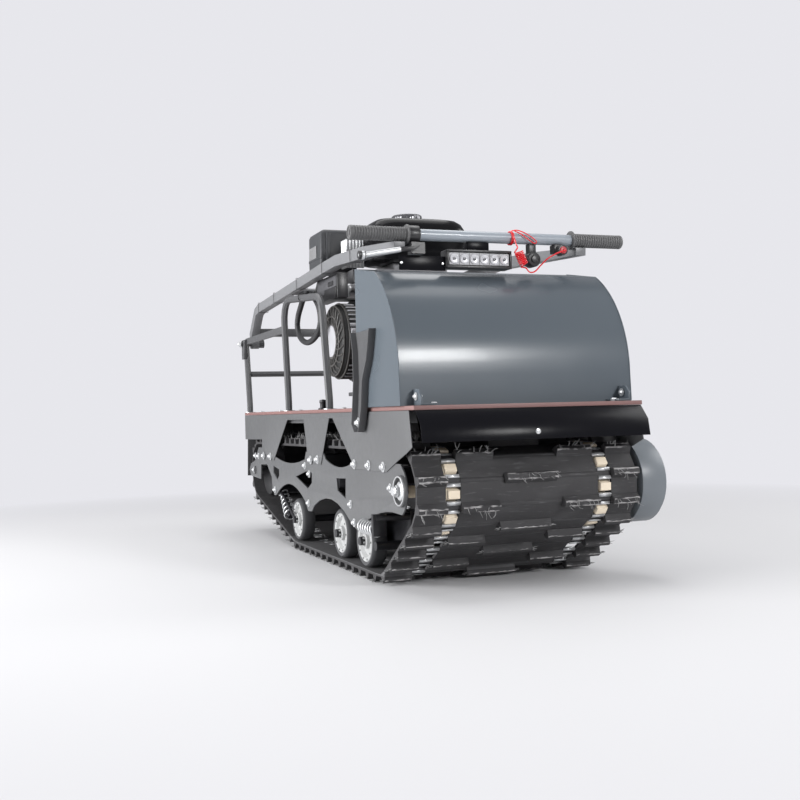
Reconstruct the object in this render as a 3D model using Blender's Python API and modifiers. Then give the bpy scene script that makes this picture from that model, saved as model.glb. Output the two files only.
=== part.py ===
"""Tracked snow tug: a walk-behind tug on one wide rubber track, modelled in metres.

+X points forward, to the hood end, +Y to the machine's left and +Z up.
The origin is on the ground, midway along and across the machine.
"""
import math

import bmesh
import bpy
from mathutils import Matrix, Vector

# Driving dimensions, in metres
GAP = 0.0003                 # between pieces that touch
TRACK_WIDTH = 0.500
TRACK_LINKS = 60
BELT_THICK = 0.006
WINDOW_LENGTH = 0.030        # along the track, one to a link in each column
WINDOW_IN = 0.156            # a window column lies between these two, from the middle
WINDOW_OUT = 0.188
LUG_HEIGHT = 0.015
LUG_TOP = 0.009              # length of a lug's top along the track
CENTRE_LUG = 0.058           # half width of the middle lug in every second row
PAIR_LUG = 0.073             # where the inner pair of the other rows begins
DRIVE_X = 0.650              # front axle, which drives
DRIVE_Z = 0.206
DRIVE_TEETH = 10
IDLER_X = -0.610             # rear axle
IDLER_Z = 0.200
WRAP_RADIUS = 0.081          # from an axle to the belt's inner face
WHEEL_CLEARANCE = 0.0025     # from a wheel to the belt's corners
CONTACT_REAR = -0.180        # the stretch of track on the ground
CONTACT_FRONT = 0.500
ROLLER_RADIUS = 0.060
ROLLER_WIDTH = 0.036
AXLE_RADIUS = 0.0125
BEND_CLEARANCE = 0.002       # of the rollers that the belt bends round
ROLLER_Y = TRACK_WIDTH / 2 - 0.024
ROLLERS = ((CONTACT_REAR, ROLLER_Y, BEND_CLEARANCE), (0.212, ROLLER_Y, GAP), (0.392, ROLLER_Y, GAP),
           (CONTACT_FRONT, ROLLER_Y - 0.076, BEND_CLEARANCE))   # x, y and clearance of a pair

PLATE_Y = TRACK_WIDTH / 2 + 0.006    # inner face of a side plate
PLATE_THICK = 0.004
SKIRT_THICK = 0.002
ARM_PIN = (-0.360, 0.153)    # pivot of the rear suspension arms
REAR_SPRING_FOOT = (-0.278, 0.079)
SPRING_CORE = 0.012          # radius of the guide inside a spring
REAR_SPRING_Y = PLATE_Y - 0.021
FRONT_SPRING_Y = PLATE_Y + 0.006
BEAM_Y = ROLLER_Y - ROLLER_WIDTH / 2 - 0.018   # front suspension beams, inboard of the rollers
SHAFT_RADIUS = 0.008
FRONT_SHAFT = (0.545, 0.146)

DECK_REAR = -0.752
DECK_FRONT = 0.752
DECK_HALF = PLATE_Y + 0.002
DECK_TOP = 0.380
DECK_THICK = 0.009
SEAM_X = -0.165              # where the cargo board meets the engine board
LEG_CLEARANCE = 0.0006       # round a guard's leg in the deck
FRAME_TUBE = 0.025
FRAME_RAIL_Y = DECK_HALF - 0.022
FRAME_REAR = -0.742
FRAME_FRONT = 0.690
FRAME_CROSS = (-0.66, -0.20, 0.20, 0.66)

HOOD_HALF = DECK_HALF + 0.008
HOOD_REAR = 0.437
HOOD_FRONT = 0.700
HOOD_TOP = 0.685             # at the rear edge
HOOD_WALL = 0.0016
HOOD_CENTRE = (0.440, 0.440)
HOOD_RADIUS = 0.257
HOOD_TURN = 60.0             # degrees of the rounded front

CAGE_Y = DECK_HALF - 0.013
CAGE_RADIUS = 0.0095
POST_FOOT_X = -0.730
HOOP_REAR_X = -0.238
HOOP_FRONT_X = 0.153
LEG_UPRIGHT = 0.022          # straight length of a leg above the deck
CROSS_RAIL = (-0.747, 0.505)
CROSS_RAIL_RADIUS = 0.009
SIDE_RAIL = (0.008, 0.020)   # thickness and height

PIVOT_X = -0.768             # axis of the folding handlebar
PIVOT_Z = 0.605
PIN_RADIUS = 0.008
KNOB_RADIUS = 0.013
ARM_Y = CAGE_Y - 0.0285
ARM_WIDTH = 0.025
ARM_DEPTH = 0.027
ARM_END_DEPTH = 0.017
ARM_LINE = ((-0.768, 0.606), (-0.7735, 0.632), (-0.698, 0.703), (-0.655, 0.711), (-0.312, 0.726),
            (0.067, 0.741), (0.175, 0.744), (0.366, 0.734), (0.590, 0.7165))
BAR_X = 0.580
BAR_Z = 0.742
BAR_RADIUS = 0.0125
BAR_HALF = 0.325
GRIP_LENGTH = 0.130
GRIP_RADIUS = 0.0155
GRIP_WALL = 0.003
FLANGE_RADIUS = 0.021
CLAMP_RADIUS = 0.019
SWITCH_Y = BAR_HALF - GRIP_LENGTH - 0.035
LANYARD_RADIUS = 0.0075
LOOM_RADIUS = 0.008

ENGINE_X = 0.020             # crankshaft
ENGINE_Z = 0.558
ENGINE_BASE_Z = 0.426
FAN_RADIUS = 0.105
TANK_BOTTOM = 0.755

HITCH_REAR = -0.785
FLAP_BOTTOM = 0.175

COVER_OUT_Y = PLATE_Y + 0.069
COVER_RADIUS = 0.091

MODEL_NAME = "tracked_snow_tug"

for stale in list(bpy.data.objects):
    bpy.data.objects.remove(stale, do_unlink=True)

parts = bpy.data.collections.new(MODEL_NAME)
cutters = bpy.data.collections.new(MODEL_NAME + "_cutters")
bpy.context.scene.collection.children.link(parts)
bpy.context.scene.collection.children.link(cutters)


def material(name, colour, roughness, metallic=0.0):
    """A plain Principled material."""
    made = bpy.data.materials.new(name)
    made.use_nodes = True
    shader = made.node_tree.nodes["Principled BSDF"]
    shader.inputs["Base Color"].default_value = (*colour, 1.0)
    shader.inputs["Roughness"].default_value = roughness
    shader.inputs["Metallic"].default_value = metallic
    return made


RUBBER = material("rubber", (0.030, 0.030, 0.033), 0.75)
TEETH = material("cream_plastic", (0.78, 0.70, 0.55), 0.45)
PLATE = material("grey_plate", (0.27, 0.29, 0.32), 0.40, 0.3)
SHEET = material("hood_paint", (0.13, 0.17, 0.20), 0.22)
TUBE = material("cage_paint", (0.085, 0.090, 0.100), 0.40)
ARM = material("arm_paint", (0.35, 0.36, 0.39), 0.38)
BLACK = material("black_paint", (0.015, 0.015, 0.017), 0.30)
PLASTIC = material("black_plastic", (0.030, 0.030, 0.033), 0.55)
PLYWOOD = material("faced_plywood", (0.30, 0.16, 0.15), 0.60)
STEEL = material("zinc_steel", (0.62, 0.63, 0.65), 0.30, 1.0)
CAST = material("cast_aluminium", (0.22, 0.22, 0.23), 0.45, 0.8)
RED = material("red_cord", (0.75, 0.02, 0.03), 0.50)
LENS = material("lamp_lens", (0.85, 0.87, 0.90), 0.15)


def to_mesh(item):
    """Turn a curve or a modified object into a plain mesh object in place."""
    bpy.context.view_layer.update()
    graph = bpy.context.evaluated_depsgraph_get()
    mesh = bpy.data.meshes.new_from_object(item.evaluated_get(graph))
    shape = bmesh.new()
    shape.from_mesh(mesh)
    bmesh.ops.remove_doubles(shape, verts=shape.verts, dist=0.00002)
    bmesh.ops.recalc_face_normals(shape, faces=shape.faces)
    shape.to_mesh(mesh)
    shape.free()
    made = bpy.data.objects.new(item.name, mesh)
    made.matrix_world = item.matrix_world.copy()
    name = item.name
    bpy.data.objects.remove(item, do_unlink=True)
    made.name = name
    return made


def keep(item, name, finish):
    """Name an object, give it its material and put it with the parts."""
    item.name = name
    item.data.materials.clear()
    item.data.materials.append(finish)
    for holder in list(item.users_collection):
        holder.objects.unlink(item)
    parts.objects.link(item)
    return item


def hide(item):
    """Put a cutter or an operand away."""
    for holder in list(item.users_collection):
        holder.objects.unlink(item)
    cutters.objects.link(item)
    item.hide_render = True
    item.display_type = "WIRE"
    return item


def combine(item, other, how):
    """Add an exact Boolean of another mesh object."""
    hide(other)
    change = item.modifiers.new(how.lower(), "BOOLEAN")
    change.operation = how
    change.solver = "EXACT"
    change.object = other
    return item


def block(centre, size, bevel=0.0):
    """A box from a primitive, with rounded edges if asked."""
    mesh = bpy.data.meshes.new("block")
    shape = bmesh.new()
    bmesh.ops.create_cube(shape, size=1.0)
    bmesh.ops.scale(shape, vec=Vector(size), verts=shape.verts)
    bmesh.ops.translate(shape, vec=Vector(centre), verts=shape.verts)
    shape.to_mesh(mesh)
    shape.free()
    made = bpy.data.objects.new("block", mesh)
    cutters.objects.link(made)
    if bevel > 0.0:
        rounding = made.modifiers.new("rounding", "BEVEL")
        rounding.width = bevel
        rounding.segments = 2
    return made


def drum(centre, axis, radius, length, sides=24, radius_end=None):
    """A cylinder or cone along an axis letter, centred."""
    mesh = bpy.data.meshes.new("drum")
    shape = bmesh.new()
    end = radius if radius_end is None else radius_end
    bmesh.ops.create_cone(shape, cap_ends=True, segments=sides, radius1=radius, radius2=end, depth=length)
    turns = {"X": Matrix.Rotation(math.radians(90), 4, "Y"), "Y": Matrix.Rotation(math.radians(-90), 4, "X"),
             "Z": Matrix.Identity(4)}
    bmesh.ops.transform(shape, matrix=Matrix.Translation(Vector(centre)) @ turns[axis], verts=shape.verts)
    shape.to_mesh(mesh)
    shape.free()
    made = bpy.data.objects.new("drum", mesh)
    cutters.objects.link(made)
    return made


def tube(points, radius, resolution=2, closed=False):
    """A round tube along points, as a welded mesh."""
    curve = bpy.data.curves.new("tube", "CURVE")
    curve.dimensions = "3D"
    curve.bevel_depth = radius
    curve.bevel_resolution = resolution
    curve.use_fill_caps = True
    line = curve.splines.new("POLY")
    line.points.add(len(points) - 1)
    for spot, point in zip(line.points, points):
        spot.co = (*point, 1.0)
    line.use_cyclic_u = closed
    made = bpy.data.objects.new("tube", curve)
    cutters.objects.link(made)
    made = to_mesh(made)
    cutters.objects.link(made)
    return made


def rounded_path(points, radius, step_angle=22.0):
    """Points of a polyline with its inner corners turned into arcs, a step to so many degrees."""
    path = [Vector(points[0])]
    for before, corner, after in zip(points, points[1:], points[2:]):
        corner = Vector(corner)
        back = (Vector(before) - corner).normalized()
        ahead = (Vector(after) - corner).normalized()
        half = back.angle(ahead) / 2
        steps = max(1, round((180.0 - math.degrees(2 * half)) / step_angle))
        reach = radius / math.tan(half)
        start = corner + back * reach
        end = corner + ahead * reach
        centre = corner + (back + ahead).normalized() * (radius / math.sin(half))
        for step in range(steps + 1):
            share = step / steps
            spoke = (start - centre).normalized().slerp((end - centre).normalized(), share)
            path.append(centre + spoke * radius)
    path.append(Vector(points[-1]))
    return path


def plate(outline, low_y, high_y):
    """A flat plate from an XZ outline, between two values of Y."""
    shape = bmesh.new()
    corners = [shape.verts.new((x, low_y, z)) for x, z in outline]
    face = shape.faces.new(corners)
    grown = bmesh.ops.extrude_face_region(shape, geom=[face])
    moved = [v for v in grown["geom"] if isinstance(v, bmesh.types.BMVert)]
    bmesh.ops.translate(shape, vec=(0.0, high_y - low_y, 0.0), verts=moved)
    bmesh.ops.recalc_face_normals(shape, faces=shape.faces)
    mesh = bpy.data.meshes.new("plate")
    shape.to_mesh(mesh)
    shape.free()
    made = bpy.data.objects.new("plate", mesh)
    cutters.objects.link(made)
    return made


def rod(start, end, y, radius, sides=16):
    """A cylinder between two XZ points, in the plane of one Y."""
    run = Vector((end[0] - start[0], 0.0, end[1] - start[1]))
    middle = Vector(((start[0] + end[0]) / 2, y, (start[1] + end[1]) / 2))
    made = drum((0.0, 0.0, 0.0), "Z", radius, run.length, sides)
    made.data.transform(Matrix.Translation(middle) @ run.to_track_quat("Z", "Y").to_matrix().to_4x4())
    return made


def fuse(name, finish, pieces):
    """One node from several solids that meet."""
    body = pieces[0]
    for other in pieces[1:]:
        combine(body, other, "UNION")
    return keep(body, name, finish)


def arc(centre, radius, start, end, steps):
    """Points of an arc in XZ, angles in degrees from +X towards +Z."""
    points = []
    for step in range(steps + 1):
        turn = math.radians(start + (end - start) * step / steps)
        points.append((centre[0] + radius * math.cos(turn), centre[1] + radius * math.sin(turn)))
    return points


def bow(start, end, rise, steps=6):
    """Points of a shallow curve in XZ between two points, its middle moved up by a height."""
    points = []
    for step in range(steps + 1):
        share = step / steps
        lift = rise * 4 * share * (1 - share)
        points.append((start[0] + (end[0] - start[0]) * share, start[1] + (end[1] - start[1]) * share + lift))
    return points


SIDES = (("right", -1.0), ("left", 1.0))


def track_line(offset):
    """The loop's straight runs and arcs, at a distance outside the belt's inner face."""
    radius = WRAP_RADIUS + offset
    base = LUG_HEIGHT + BELT_THICK
    bend = ROLLER_RADIUS + offset
    wheels = (
        (DRIVE_X, DRIVE_Z, radius),
        (IDLER_X, IDLER_Z, radius),
        (CONTACT_REAR, base + ROLLER_RADIUS, bend),
        (CONTACT_FRONT, base + ROLLER_RADIUS, bend),
    )
    pieces = []
    count = len(wheels)
    normals = []
    for index in range(count):
        x0, z0, r0 = wheels[index]
        x1, z1, r1 = wheels[(index + 1) % count]
        length = math.hypot(x1 - x0, z1 - z0)
        along = math.atan2(z1 - z0, x1 - x0)
        lean = math.acos((r0 - r1) / length)
        normals.append(along - lean)
    for index in range(count):
        x, z, r = wheels[index]
        before = normals[index - 1]
        after = normals[index]
        while after < before:
            after += 2 * math.pi
        pieces.append(("arc", (x, z), r, before, after))
        x1, z1, r1 = wheels[(index + 1) % count]
        turn = normals[index]
        start = (x + r * math.cos(turn), z + r * math.sin(turn))
        end = (x1 + r1 * math.cos(turn), z1 + r1 * math.sin(turn))
        pieces.append(("line", start, end, turn))
    return pieces


def piece_length(piece):
    """Length of a run or an arc of the loop."""
    if piece[0] == "arc":
        return piece[2] * (piece[4] - piece[3])
    return math.dist(piece[1], piece[2])


def track_point(distance):
    """Place and outward normal at a distance along the belt's inner face."""
    pieces = track_line(0.0)
    total = sum(piece_length(piece) for piece in pieces)
    left = distance % total
    for piece in pieces:
        length = piece_length(piece)
        if left <= length:
            break
        left -= length
    if piece[0] == "arc":
        turn = piece[3] + left / piece[2]
        spot = (piece[1][0] + piece[2] * math.cos(turn), piece[1][1] + piece[2] * math.sin(turn))
        return spot, (math.cos(turn), math.sin(turn))
    share = left / length
    spot = tuple(a + (b - a) * share for a, b in zip(piece[1], piece[2]))
    return spot, (math.cos(piece[3]), math.sin(piece[3]))


def make_track():
    """The rubber track: a loop of links with two windows each and a row of lugs between windows."""
    pitch = sum(piece_length(piece) for piece in track_line(0.0)) / TRACK_LINKS
    bar = pitch - WINDOW_LENGTH
    taper = (bar - LUG_TOP) / 2
    edge = TRACK_WIDTH / 2
    ends = ((-edge, -WINDOW_OUT), (WINDOW_OUT, edge))
    rows = ((CENTRE_LUG, ends + ((-CENTRE_LUG, CENTRE_LUG),)),
            (PAIR_LUG, ends + ((-WINDOW_IN, -PAIR_LUG), (PAIR_LUG, WINDOW_IN))))
    heights = {"inner": 0.0, "outer": BELT_THICK, "top": BELT_THICK + LUG_HEIGHT}
    shape = bmesh.new()
    made = {}

    def corner(line, layer, y):
        """The vertex of a cross line at a layer; even lines start a bar, odd lines end it."""
        line %= 2 * TRACK_LINKS
        if (line, layer, y) not in made:
            side = -1 if line % 2 == 0 else 1
            distance = (line // 2) * pitch + side * (bar / 2 - (taper if layer == "top" else 0.0))
            (x, z), (nx, nz) = track_point(distance)
            height = heights[layer]
            made[line, layer, y] = shape.verts.new((x + nx * height, y, z + nz * height))
        return made[line, layer, y]

    def strip(line, layer, low, high):
        """A face from one cross line to the next, with the corners that each line has in between."""
        stops = []
        for which in (line, line + 1):
            extra = rows[(which // 2) % 2][0]
            wanted = (-edge, -WINDOW_OUT, -WINDOW_IN, WINDOW_IN, WINDOW_OUT, edge)
            if layer == "outer":
                wanted += (-extra, extra)
            stops.append([corner(which, layer, y) for y in sorted(wanted) if low <= y <= high])
        shape.faces.new(stops[0] + stops[1][::-1])

    def wall(line, layers, low, high):
        """An upright face across the track on one cross line."""
        shape.faces.new([corner(line, layers[0], low), corner(line, layers[0], high),
                         corner(line, layers[1], high), corner(line, layers[1], low)])

    def cheek(line, layers, y):
        """An upright face along the track, from one cross line to the next."""
        shape.faces.new([corner(line, layers[0], y), corner(line + 1, layers[0], y),
                         corner(line + 1, layers[1], y), corner(line, layers[1], y)])

    for link in range(TRACK_LINKS):
        line = 2 * link
        extra, lugs = rows[link % 2]
        reached = -edge
        for low, high in sorted(lugs):
            if low > reached:
                strip(line, "outer", reached, low)
            reached = high
            shape.faces.new([corner(line, "top", low), corner(line, "top", high),
                             corner(line + 1, "top", high), corner(line + 1, "top", low)])
            for which in (line, line + 1):
                wall(which, ("outer", "top"), low, high)
            for y in (low, high):
                cheek(line, ("outer", "top"), y)
        strip(line, "inner", -edge, edge)
        for low, high in ((-edge, -WINDOW_OUT), (-WINDOW_IN, WINDOW_IN), (WINDOW_OUT, edge)):
            for layer in ("inner", "outer"):
                strip(line + 1, layer, low, high)
        for low, high in ((-WINDOW_OUT, -WINDOW_IN), (WINDOW_IN, WINDOW_OUT)):
            for which in (line + 1, line + 2):
                wall(which, ("inner", "outer"), low, high)
            for y in (low, high):
                cheek(line + 1, ("inner", "outer"), y)
        for y in (-edge, edge):
            cheek(line, ("inner", "outer"), y)
            cheek(line + 1, ("inner", "outer"), y)
    bmesh.ops.recalc_face_normals(shape, faces=shape.faces)
    mesh = bpy.data.meshes.new("track")
    shape.to_mesh(mesh)
    shape.free()
    keep(bpy.data.objects.new("track", mesh), "track", RUBBER)


def toothed_disc(y, root, tip, width):
    """A drive wheel whose teeth stand in the track's windows."""
    first = track_line(0.0)[0]
    pitch = sum(piece_length(piece) for piece in track_line(0.0)) / TRACK_LINKS
    phase = first[3] + pitch / 2 / WRAP_RADIUS
    step = 2 * math.pi / DRIVE_TEETH
    outline = []
    for index in range(DRIVE_TEETH):
        for shift, reach in ((-0.30, root), (-0.14, tip), (0.14, tip), (0.30, root)):
            turn = phase + (index + shift) * step
            outline.append((DRIVE_X + reach * math.cos(turn), DRIVE_Z + reach * math.sin(turn)))
    return plate(outline, y - width / 2, y + width / 2)


def make_drive():
    """The front axle with its toothed wheels, and the rear axle with its idler wheels."""
    reach = PLATE_Y + PLATE_THICK + SKIRT_THICK
    disc = WRAP_RADIUS - WHEEL_CLEARANCE
    middle = (WINDOW_IN + WINDOW_OUT) / 2
    front = [drum((DRIVE_X, 0.0, DRIVE_Z), "Y", AXLE_RADIUS, 2 * reach, 16)]
    for y in (-middle, middle):
        front.append(toothed_disc(y, disc - 0.010, WRAP_RADIUS + BELT_THICK + 0.004, 0.024))
    fuse("drive_axle", TEETH, front)
    rear = [drum((IDLER_X, 0.0, IDLER_Z), "Y", AXLE_RADIUS, 2 * reach, 16)]
    for y in (-TRACK_WIDTH / 2 + 0.050, 0.0, TRACK_WIDTH / 2 - 0.050):
        rear.append(drum((IDLER_X, y, IDLER_Z), "Y", disc, 0.036))
    fuse("idler_axle", RUBBER, rear)


def roller_height():
    """Height of the roller axles."""
    return LUG_HEIGHT + BELT_THICK + ROLLER_RADIUS


def make_rollers():
    """Ground rollers in pairs, each pair on its own axle."""
    for index, (x, out, clear) in enumerate(ROLLERS, start=1):
        pieces = [drum((x, 0.0, roller_height()), "Y", 0.010, 2 * (PLATE_Y - GAP), 8)]
        for y in (-out, out):
            pieces.append(drum((x, y, roller_height()), "Y", ROLLER_RADIUS - clear, ROLLER_WIDTH, 14))
        fuse(f"roller_pair_{index}", RUBBER, pieces)


def make_suspension():
    """Rear arms on a cross shaft with their spring guides, and the front beams and spring guides."""
    axle = (ROLLERS[0][0], roller_height())
    shaft = 2 * (PLATE_Y - GAP)
    rear = [drum((ARM_PIN[0], 0.0, ARM_PIN[1]), "Y", SHAFT_RADIUS, shaft, 12)]
    run = Vector((axle[0] - ARM_PIN[0], axle[1] - ARM_PIN[1])).normalized() * 0.018
    across = Vector((-run.y, run.x))
    outline = [(ARM_PIN[0] + across.x, ARM_PIN[1] + across.y), (ARM_PIN[0] - run.x, ARM_PIN[1] - run.y),
               (ARM_PIN[0] - across.x, ARM_PIN[1] - across.y), (axle[0] - across.x, axle[1] - across.y),
               (axle[0] + run.x, axle[1] + run.y), (axle[0] + across.x, axle[1] + across.y)]
    for side, sign in SIDES:
        low, high = sorted((sign * (PLATE_Y - 0.010), sign * (PLATE_Y - 0.003)))
        arm = plate(outline, low, high)
        combine(arm, drum((axle[0], sign * PLATE_Y, axle[1]), "Y", 0.010 + 2 * GAP, 0.05, 12), "DIFFERENCE")
        rear.append(arm)
        rear.append(rod(ARM_PIN, REAR_SPRING_FOOT, sign * REAR_SPRING_Y, SPRING_CORE, 12))
    fuse("suspension_rear", PLATE, rear)
    front = [drum((FRONT_SHAFT[0], 0.0, FRONT_SHAFT[1]), "Y", SHAFT_RADIUS,
                  2 * (FRONT_SPRING_Y + 0.008), 12)]
    outline = [(0.190, 0.066), (0.190, 0.096), (0.360, 0.158), (0.553, 0.160), (0.553, 0.130), (0.520, 0.066)]
    for side, sign in SIDES:
        beam = plate(outline, sign * BEAM_Y - 0.003, sign * BEAM_Y + 0.003)
        for x, out, clear in ROLLERS[1:]:
            hole = drum((x, sign * BEAM_Y, roller_height()), "Y", 0.010 + 2 * GAP, 0.05, 12)
            combine(beam, hole, "DIFFERENCE")
        front.append(beam)
        front.append(block((FRONT_SHAFT[0], sign * FRONT_SPRING_Y, 0.1309), (0.012, 0.030, 0.0468)))
        front.append(rod((0.450, 0.116), (0.545, 0.116), sign * FRONT_SPRING_Y, 0.009, 10))
    fuse("suspension_front", PLATE, front)


def make_side_plates():
    """Lower side plates: a rounded nose, arches over the rollers and feet for the springs."""
    outline = arc((DRIVE_X + 0.002, DRIVE_Z + 0.006), 0.056, 40.0, -62.0, 7)
    outline += bow((0.622, 0.164), (0.393, 0.105), 0.013)
    outline += bow((0.350, 0.118), (0.046, 0.136), 0.035)
    outline += [(0.022, 0.119), (-0.012, 0.118)]
    outline += bow((-0.036, 0.140), (-0.352, 0.137), 0.040, 8)
    outline += [(-0.372, 0.137), (-0.393, 0.158), (-0.401, 0.189), (-0.454, 0.223), (-0.534, 0.220),
                (-0.539, 0.175), (-0.676, 0.180), (-0.692, 0.199), (-0.671, 0.218), (-0.614, 0.230),
                (-0.559, 0.272), (-0.380, 0.272)]
    outline += bow((-0.351, 0.249), (-0.034, 0.251), -0.014)
    outline += [(-0.020, 0.272), (0.140, 0.272)]
    outline += bow((0.153, 0.258), (0.361, 0.254), -0.014)
    outline += [(0.375, 0.272), (0.610, 0.272), (0.644, 0.264), (DRIVE_X + 0.026, 0.264)]
    slots = (((-0.376, 0.222), (-0.312, 0.214), (-0.310, 0.196), (-0.332, 0.183), (-0.378, 0.201)),
             ((-0.128, 0.202), (-0.028, 0.220), (0.031, 0.219), (0.029, 0.193), (-0.010, 0.176)),
             ((0.243, 0.215), (0.315, 0.218), (0.311, 0.171), (0.250, 0.186)))
    for side, sign in SIDES:
        low, high = sorted((sign * PLATE_Y, sign * (PLATE_Y + PLATE_THICK)))
        body = plate(outline, low, high)
        for x, z in ((DRIVE_X, DRIVE_Z), (IDLER_X, IDLER_Z)):
            combine(body, drum((x, sign * PLATE_Y, z), "Y", AXLE_RADIUS + GAP, 0.05, 16), "DIFFERENCE")
        for slot in slots:
            combine(body, plate(slot, low - 0.01, high + 0.01), "DIFFERENCE")
        keep(body, f"side_plate_{side}", PLATE)


def make_skirts():
    """Upper side skirts: three lobes under a strip, whose flange lies below the deck's edge."""
    inner = PLATE_Y + PLATE_THICK + GAP
    top = DECK_TOP - DECK_THICK - GAP
    outline = [(-0.733, top), (-0.733, 0.294), (-0.502, 0.297), (-0.505, 0.269), (-0.362, 0.238),
               (-0.197, 0.355), (-0.028, 0.355), (0.005, 0.254), (0.122, 0.243), (0.200, 0.358),
               (0.230, 0.358), (0.376, 0.255), (0.398, 0.244), (0.598, 0.245), (0.667, 0.270),
               (0.713, 0.285), (0.749, 0.299), (0.747, 0.308), (0.735, top)]
    rail_side = FRAME_RAIL_Y + FRAME_TUBE / 2 + GAP
    outer = inner + SKIRT_THICK
    for side, sign in SIDES:
        low, high = sorted((sign * inner, sign * outer))
        flange = block((-0.005, sign * (rail_side + outer) / 2, top - 0.001),
                       (1.390, outer - rail_side, 0.002))
        fuse(f"skirt_{side}", PLATE, [plate(outline, low, high), flange])


def make_apron():
    """Bent black sheet under the deck's front edge."""
    top = DECK_TOP - DECK_THICK - GAP
    thick = 0.002
    sheet = plate([(0.700, top), (0.752, top), (0.778, 0.342), (0.785, 0.308), (0.785 - thick, 0.308),
                   (0.778 - thick, 0.342), (0.752 - thick, top - thick), (0.700, top - thick)],
                  -DECK_HALF + 0.003, DECK_HALF - 0.003)
    keep(sheet, "front_apron", BLACK)


def make_flap():
    """Rubber snow flap across the rear, notched for the tow tongue."""
    top = DECK_TOP - DECK_THICK - GAP - 0.002
    front = FRAME_REAR - GAP
    thick = 0.005
    lean = 0.022
    flap = plate([(front, top), (front - thick, top), (front - thick - lean, FLAP_BOTTOM),
                  (front - lean, FLAP_BOTTOM)], -TRACK_WIDTH / 2, TRACK_WIDTH / 2)
    combine(flap, block((front, 0.0, top - 0.034), (0.1, 0.066, 0.070)), "DIFFERENCE")
    keep(flap, "snow_flap", RUBBER)


def make_deck():
    """Film-faced plywood deck in two boards, with a hole for each leg of the side guards."""
    middle = DECK_TOP - DECK_THICK / 2
    for name, rear, front, legs in (("deck_rear", DECK_REAR, SEAM_X - GAP, (POST_FOOT_X, HOOP_REAR_X)),
                                    ("deck", SEAM_X, DECK_FRONT, (HOOP_FRONT_X,))):
        board = block(((rear + front) / 2, 0.0, middle), (front - rear, 2 * DECK_HALF, DECK_THICK))
        for x in legs:
            for side, sign in SIDES:
                hole = drum((x, sign * CAGE_Y, middle), "Z", CAGE_RADIUS + LEG_CLEARANCE, 0.05, 16)
                combine(board, hole, "DIFFERENCE")
        keep(board, name, PLYWOOD)
    middle = DECK_TOP - DECK_THICK - GAP - FRAME_TUBE / 2
    length = FRAME_FRONT - FRAME_REAR
    rails = []
    for sign in (-1.0, 1.0):
        rails.append(block(((FRAME_FRONT + FRAME_REAR) / 2, sign * FRAME_RAIL_Y, middle),
                           (length, FRAME_TUBE, FRAME_TUBE)))
    for x in FRAME_CROSS:
        rails.append(block((x, 0.0, middle), (FRAME_TUBE, 2 * FRAME_RAIL_Y, FRAME_TUBE)))
    fuse("deck_frame", TUBE, rails)


def make_hood():
    """Hollow sheet hood with a rounded front, and the two hinge brackets before it."""
    base = DECK_TOP + GAP
    wall = HOOD_WALL
    outline = [(HOOD_REAR, base), (HOOD_FRONT, base)]
    outline += arc(HOOD_CENTRE, HOOD_RADIUS, 0.0, HOOD_TURN, 9)
    outline.append((HOOD_REAR, HOOD_TOP))
    body = plate(outline, -HOOD_HALF, HOOD_HALF)
    inner = [(HOOD_REAR - 0.01, base - 0.01), (HOOD_FRONT - wall, base - 0.01)]
    inner += arc(HOOD_CENTRE, HOOD_RADIUS - wall, 0.0, HOOD_TURN, 9)
    inner.append((HOOD_REAR - 0.01, HOOD_TOP - wall))
    combine(body, plate(inner, -HOOD_HALF + wall, HOOD_HALF - wall), "DIFFERENCE")
    keep(body, "hood", SHEET)
    for side, sign in SIDES:
        middle = HOOD_FRONT + GAP + 0.020
        ear = plate([(middle - 0.020, base), (middle + 0.020, base), (middle + 0.020, base + 0.016),
                     (middle + 0.006, base + 0.032), (middle - 0.020, base + 0.032)],
                    sign * (HOOD_HALF - 0.030) - 0.002, sign * (HOOD_HALF - 0.030) + 0.002)
        foot = block((middle, sign * (HOOD_HALF - 0.046), base + 0.002), (0.040, 0.034, 0.004))
        fuse(f"hood_hinge_{side}", PLATE, [ear, foot])


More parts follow.
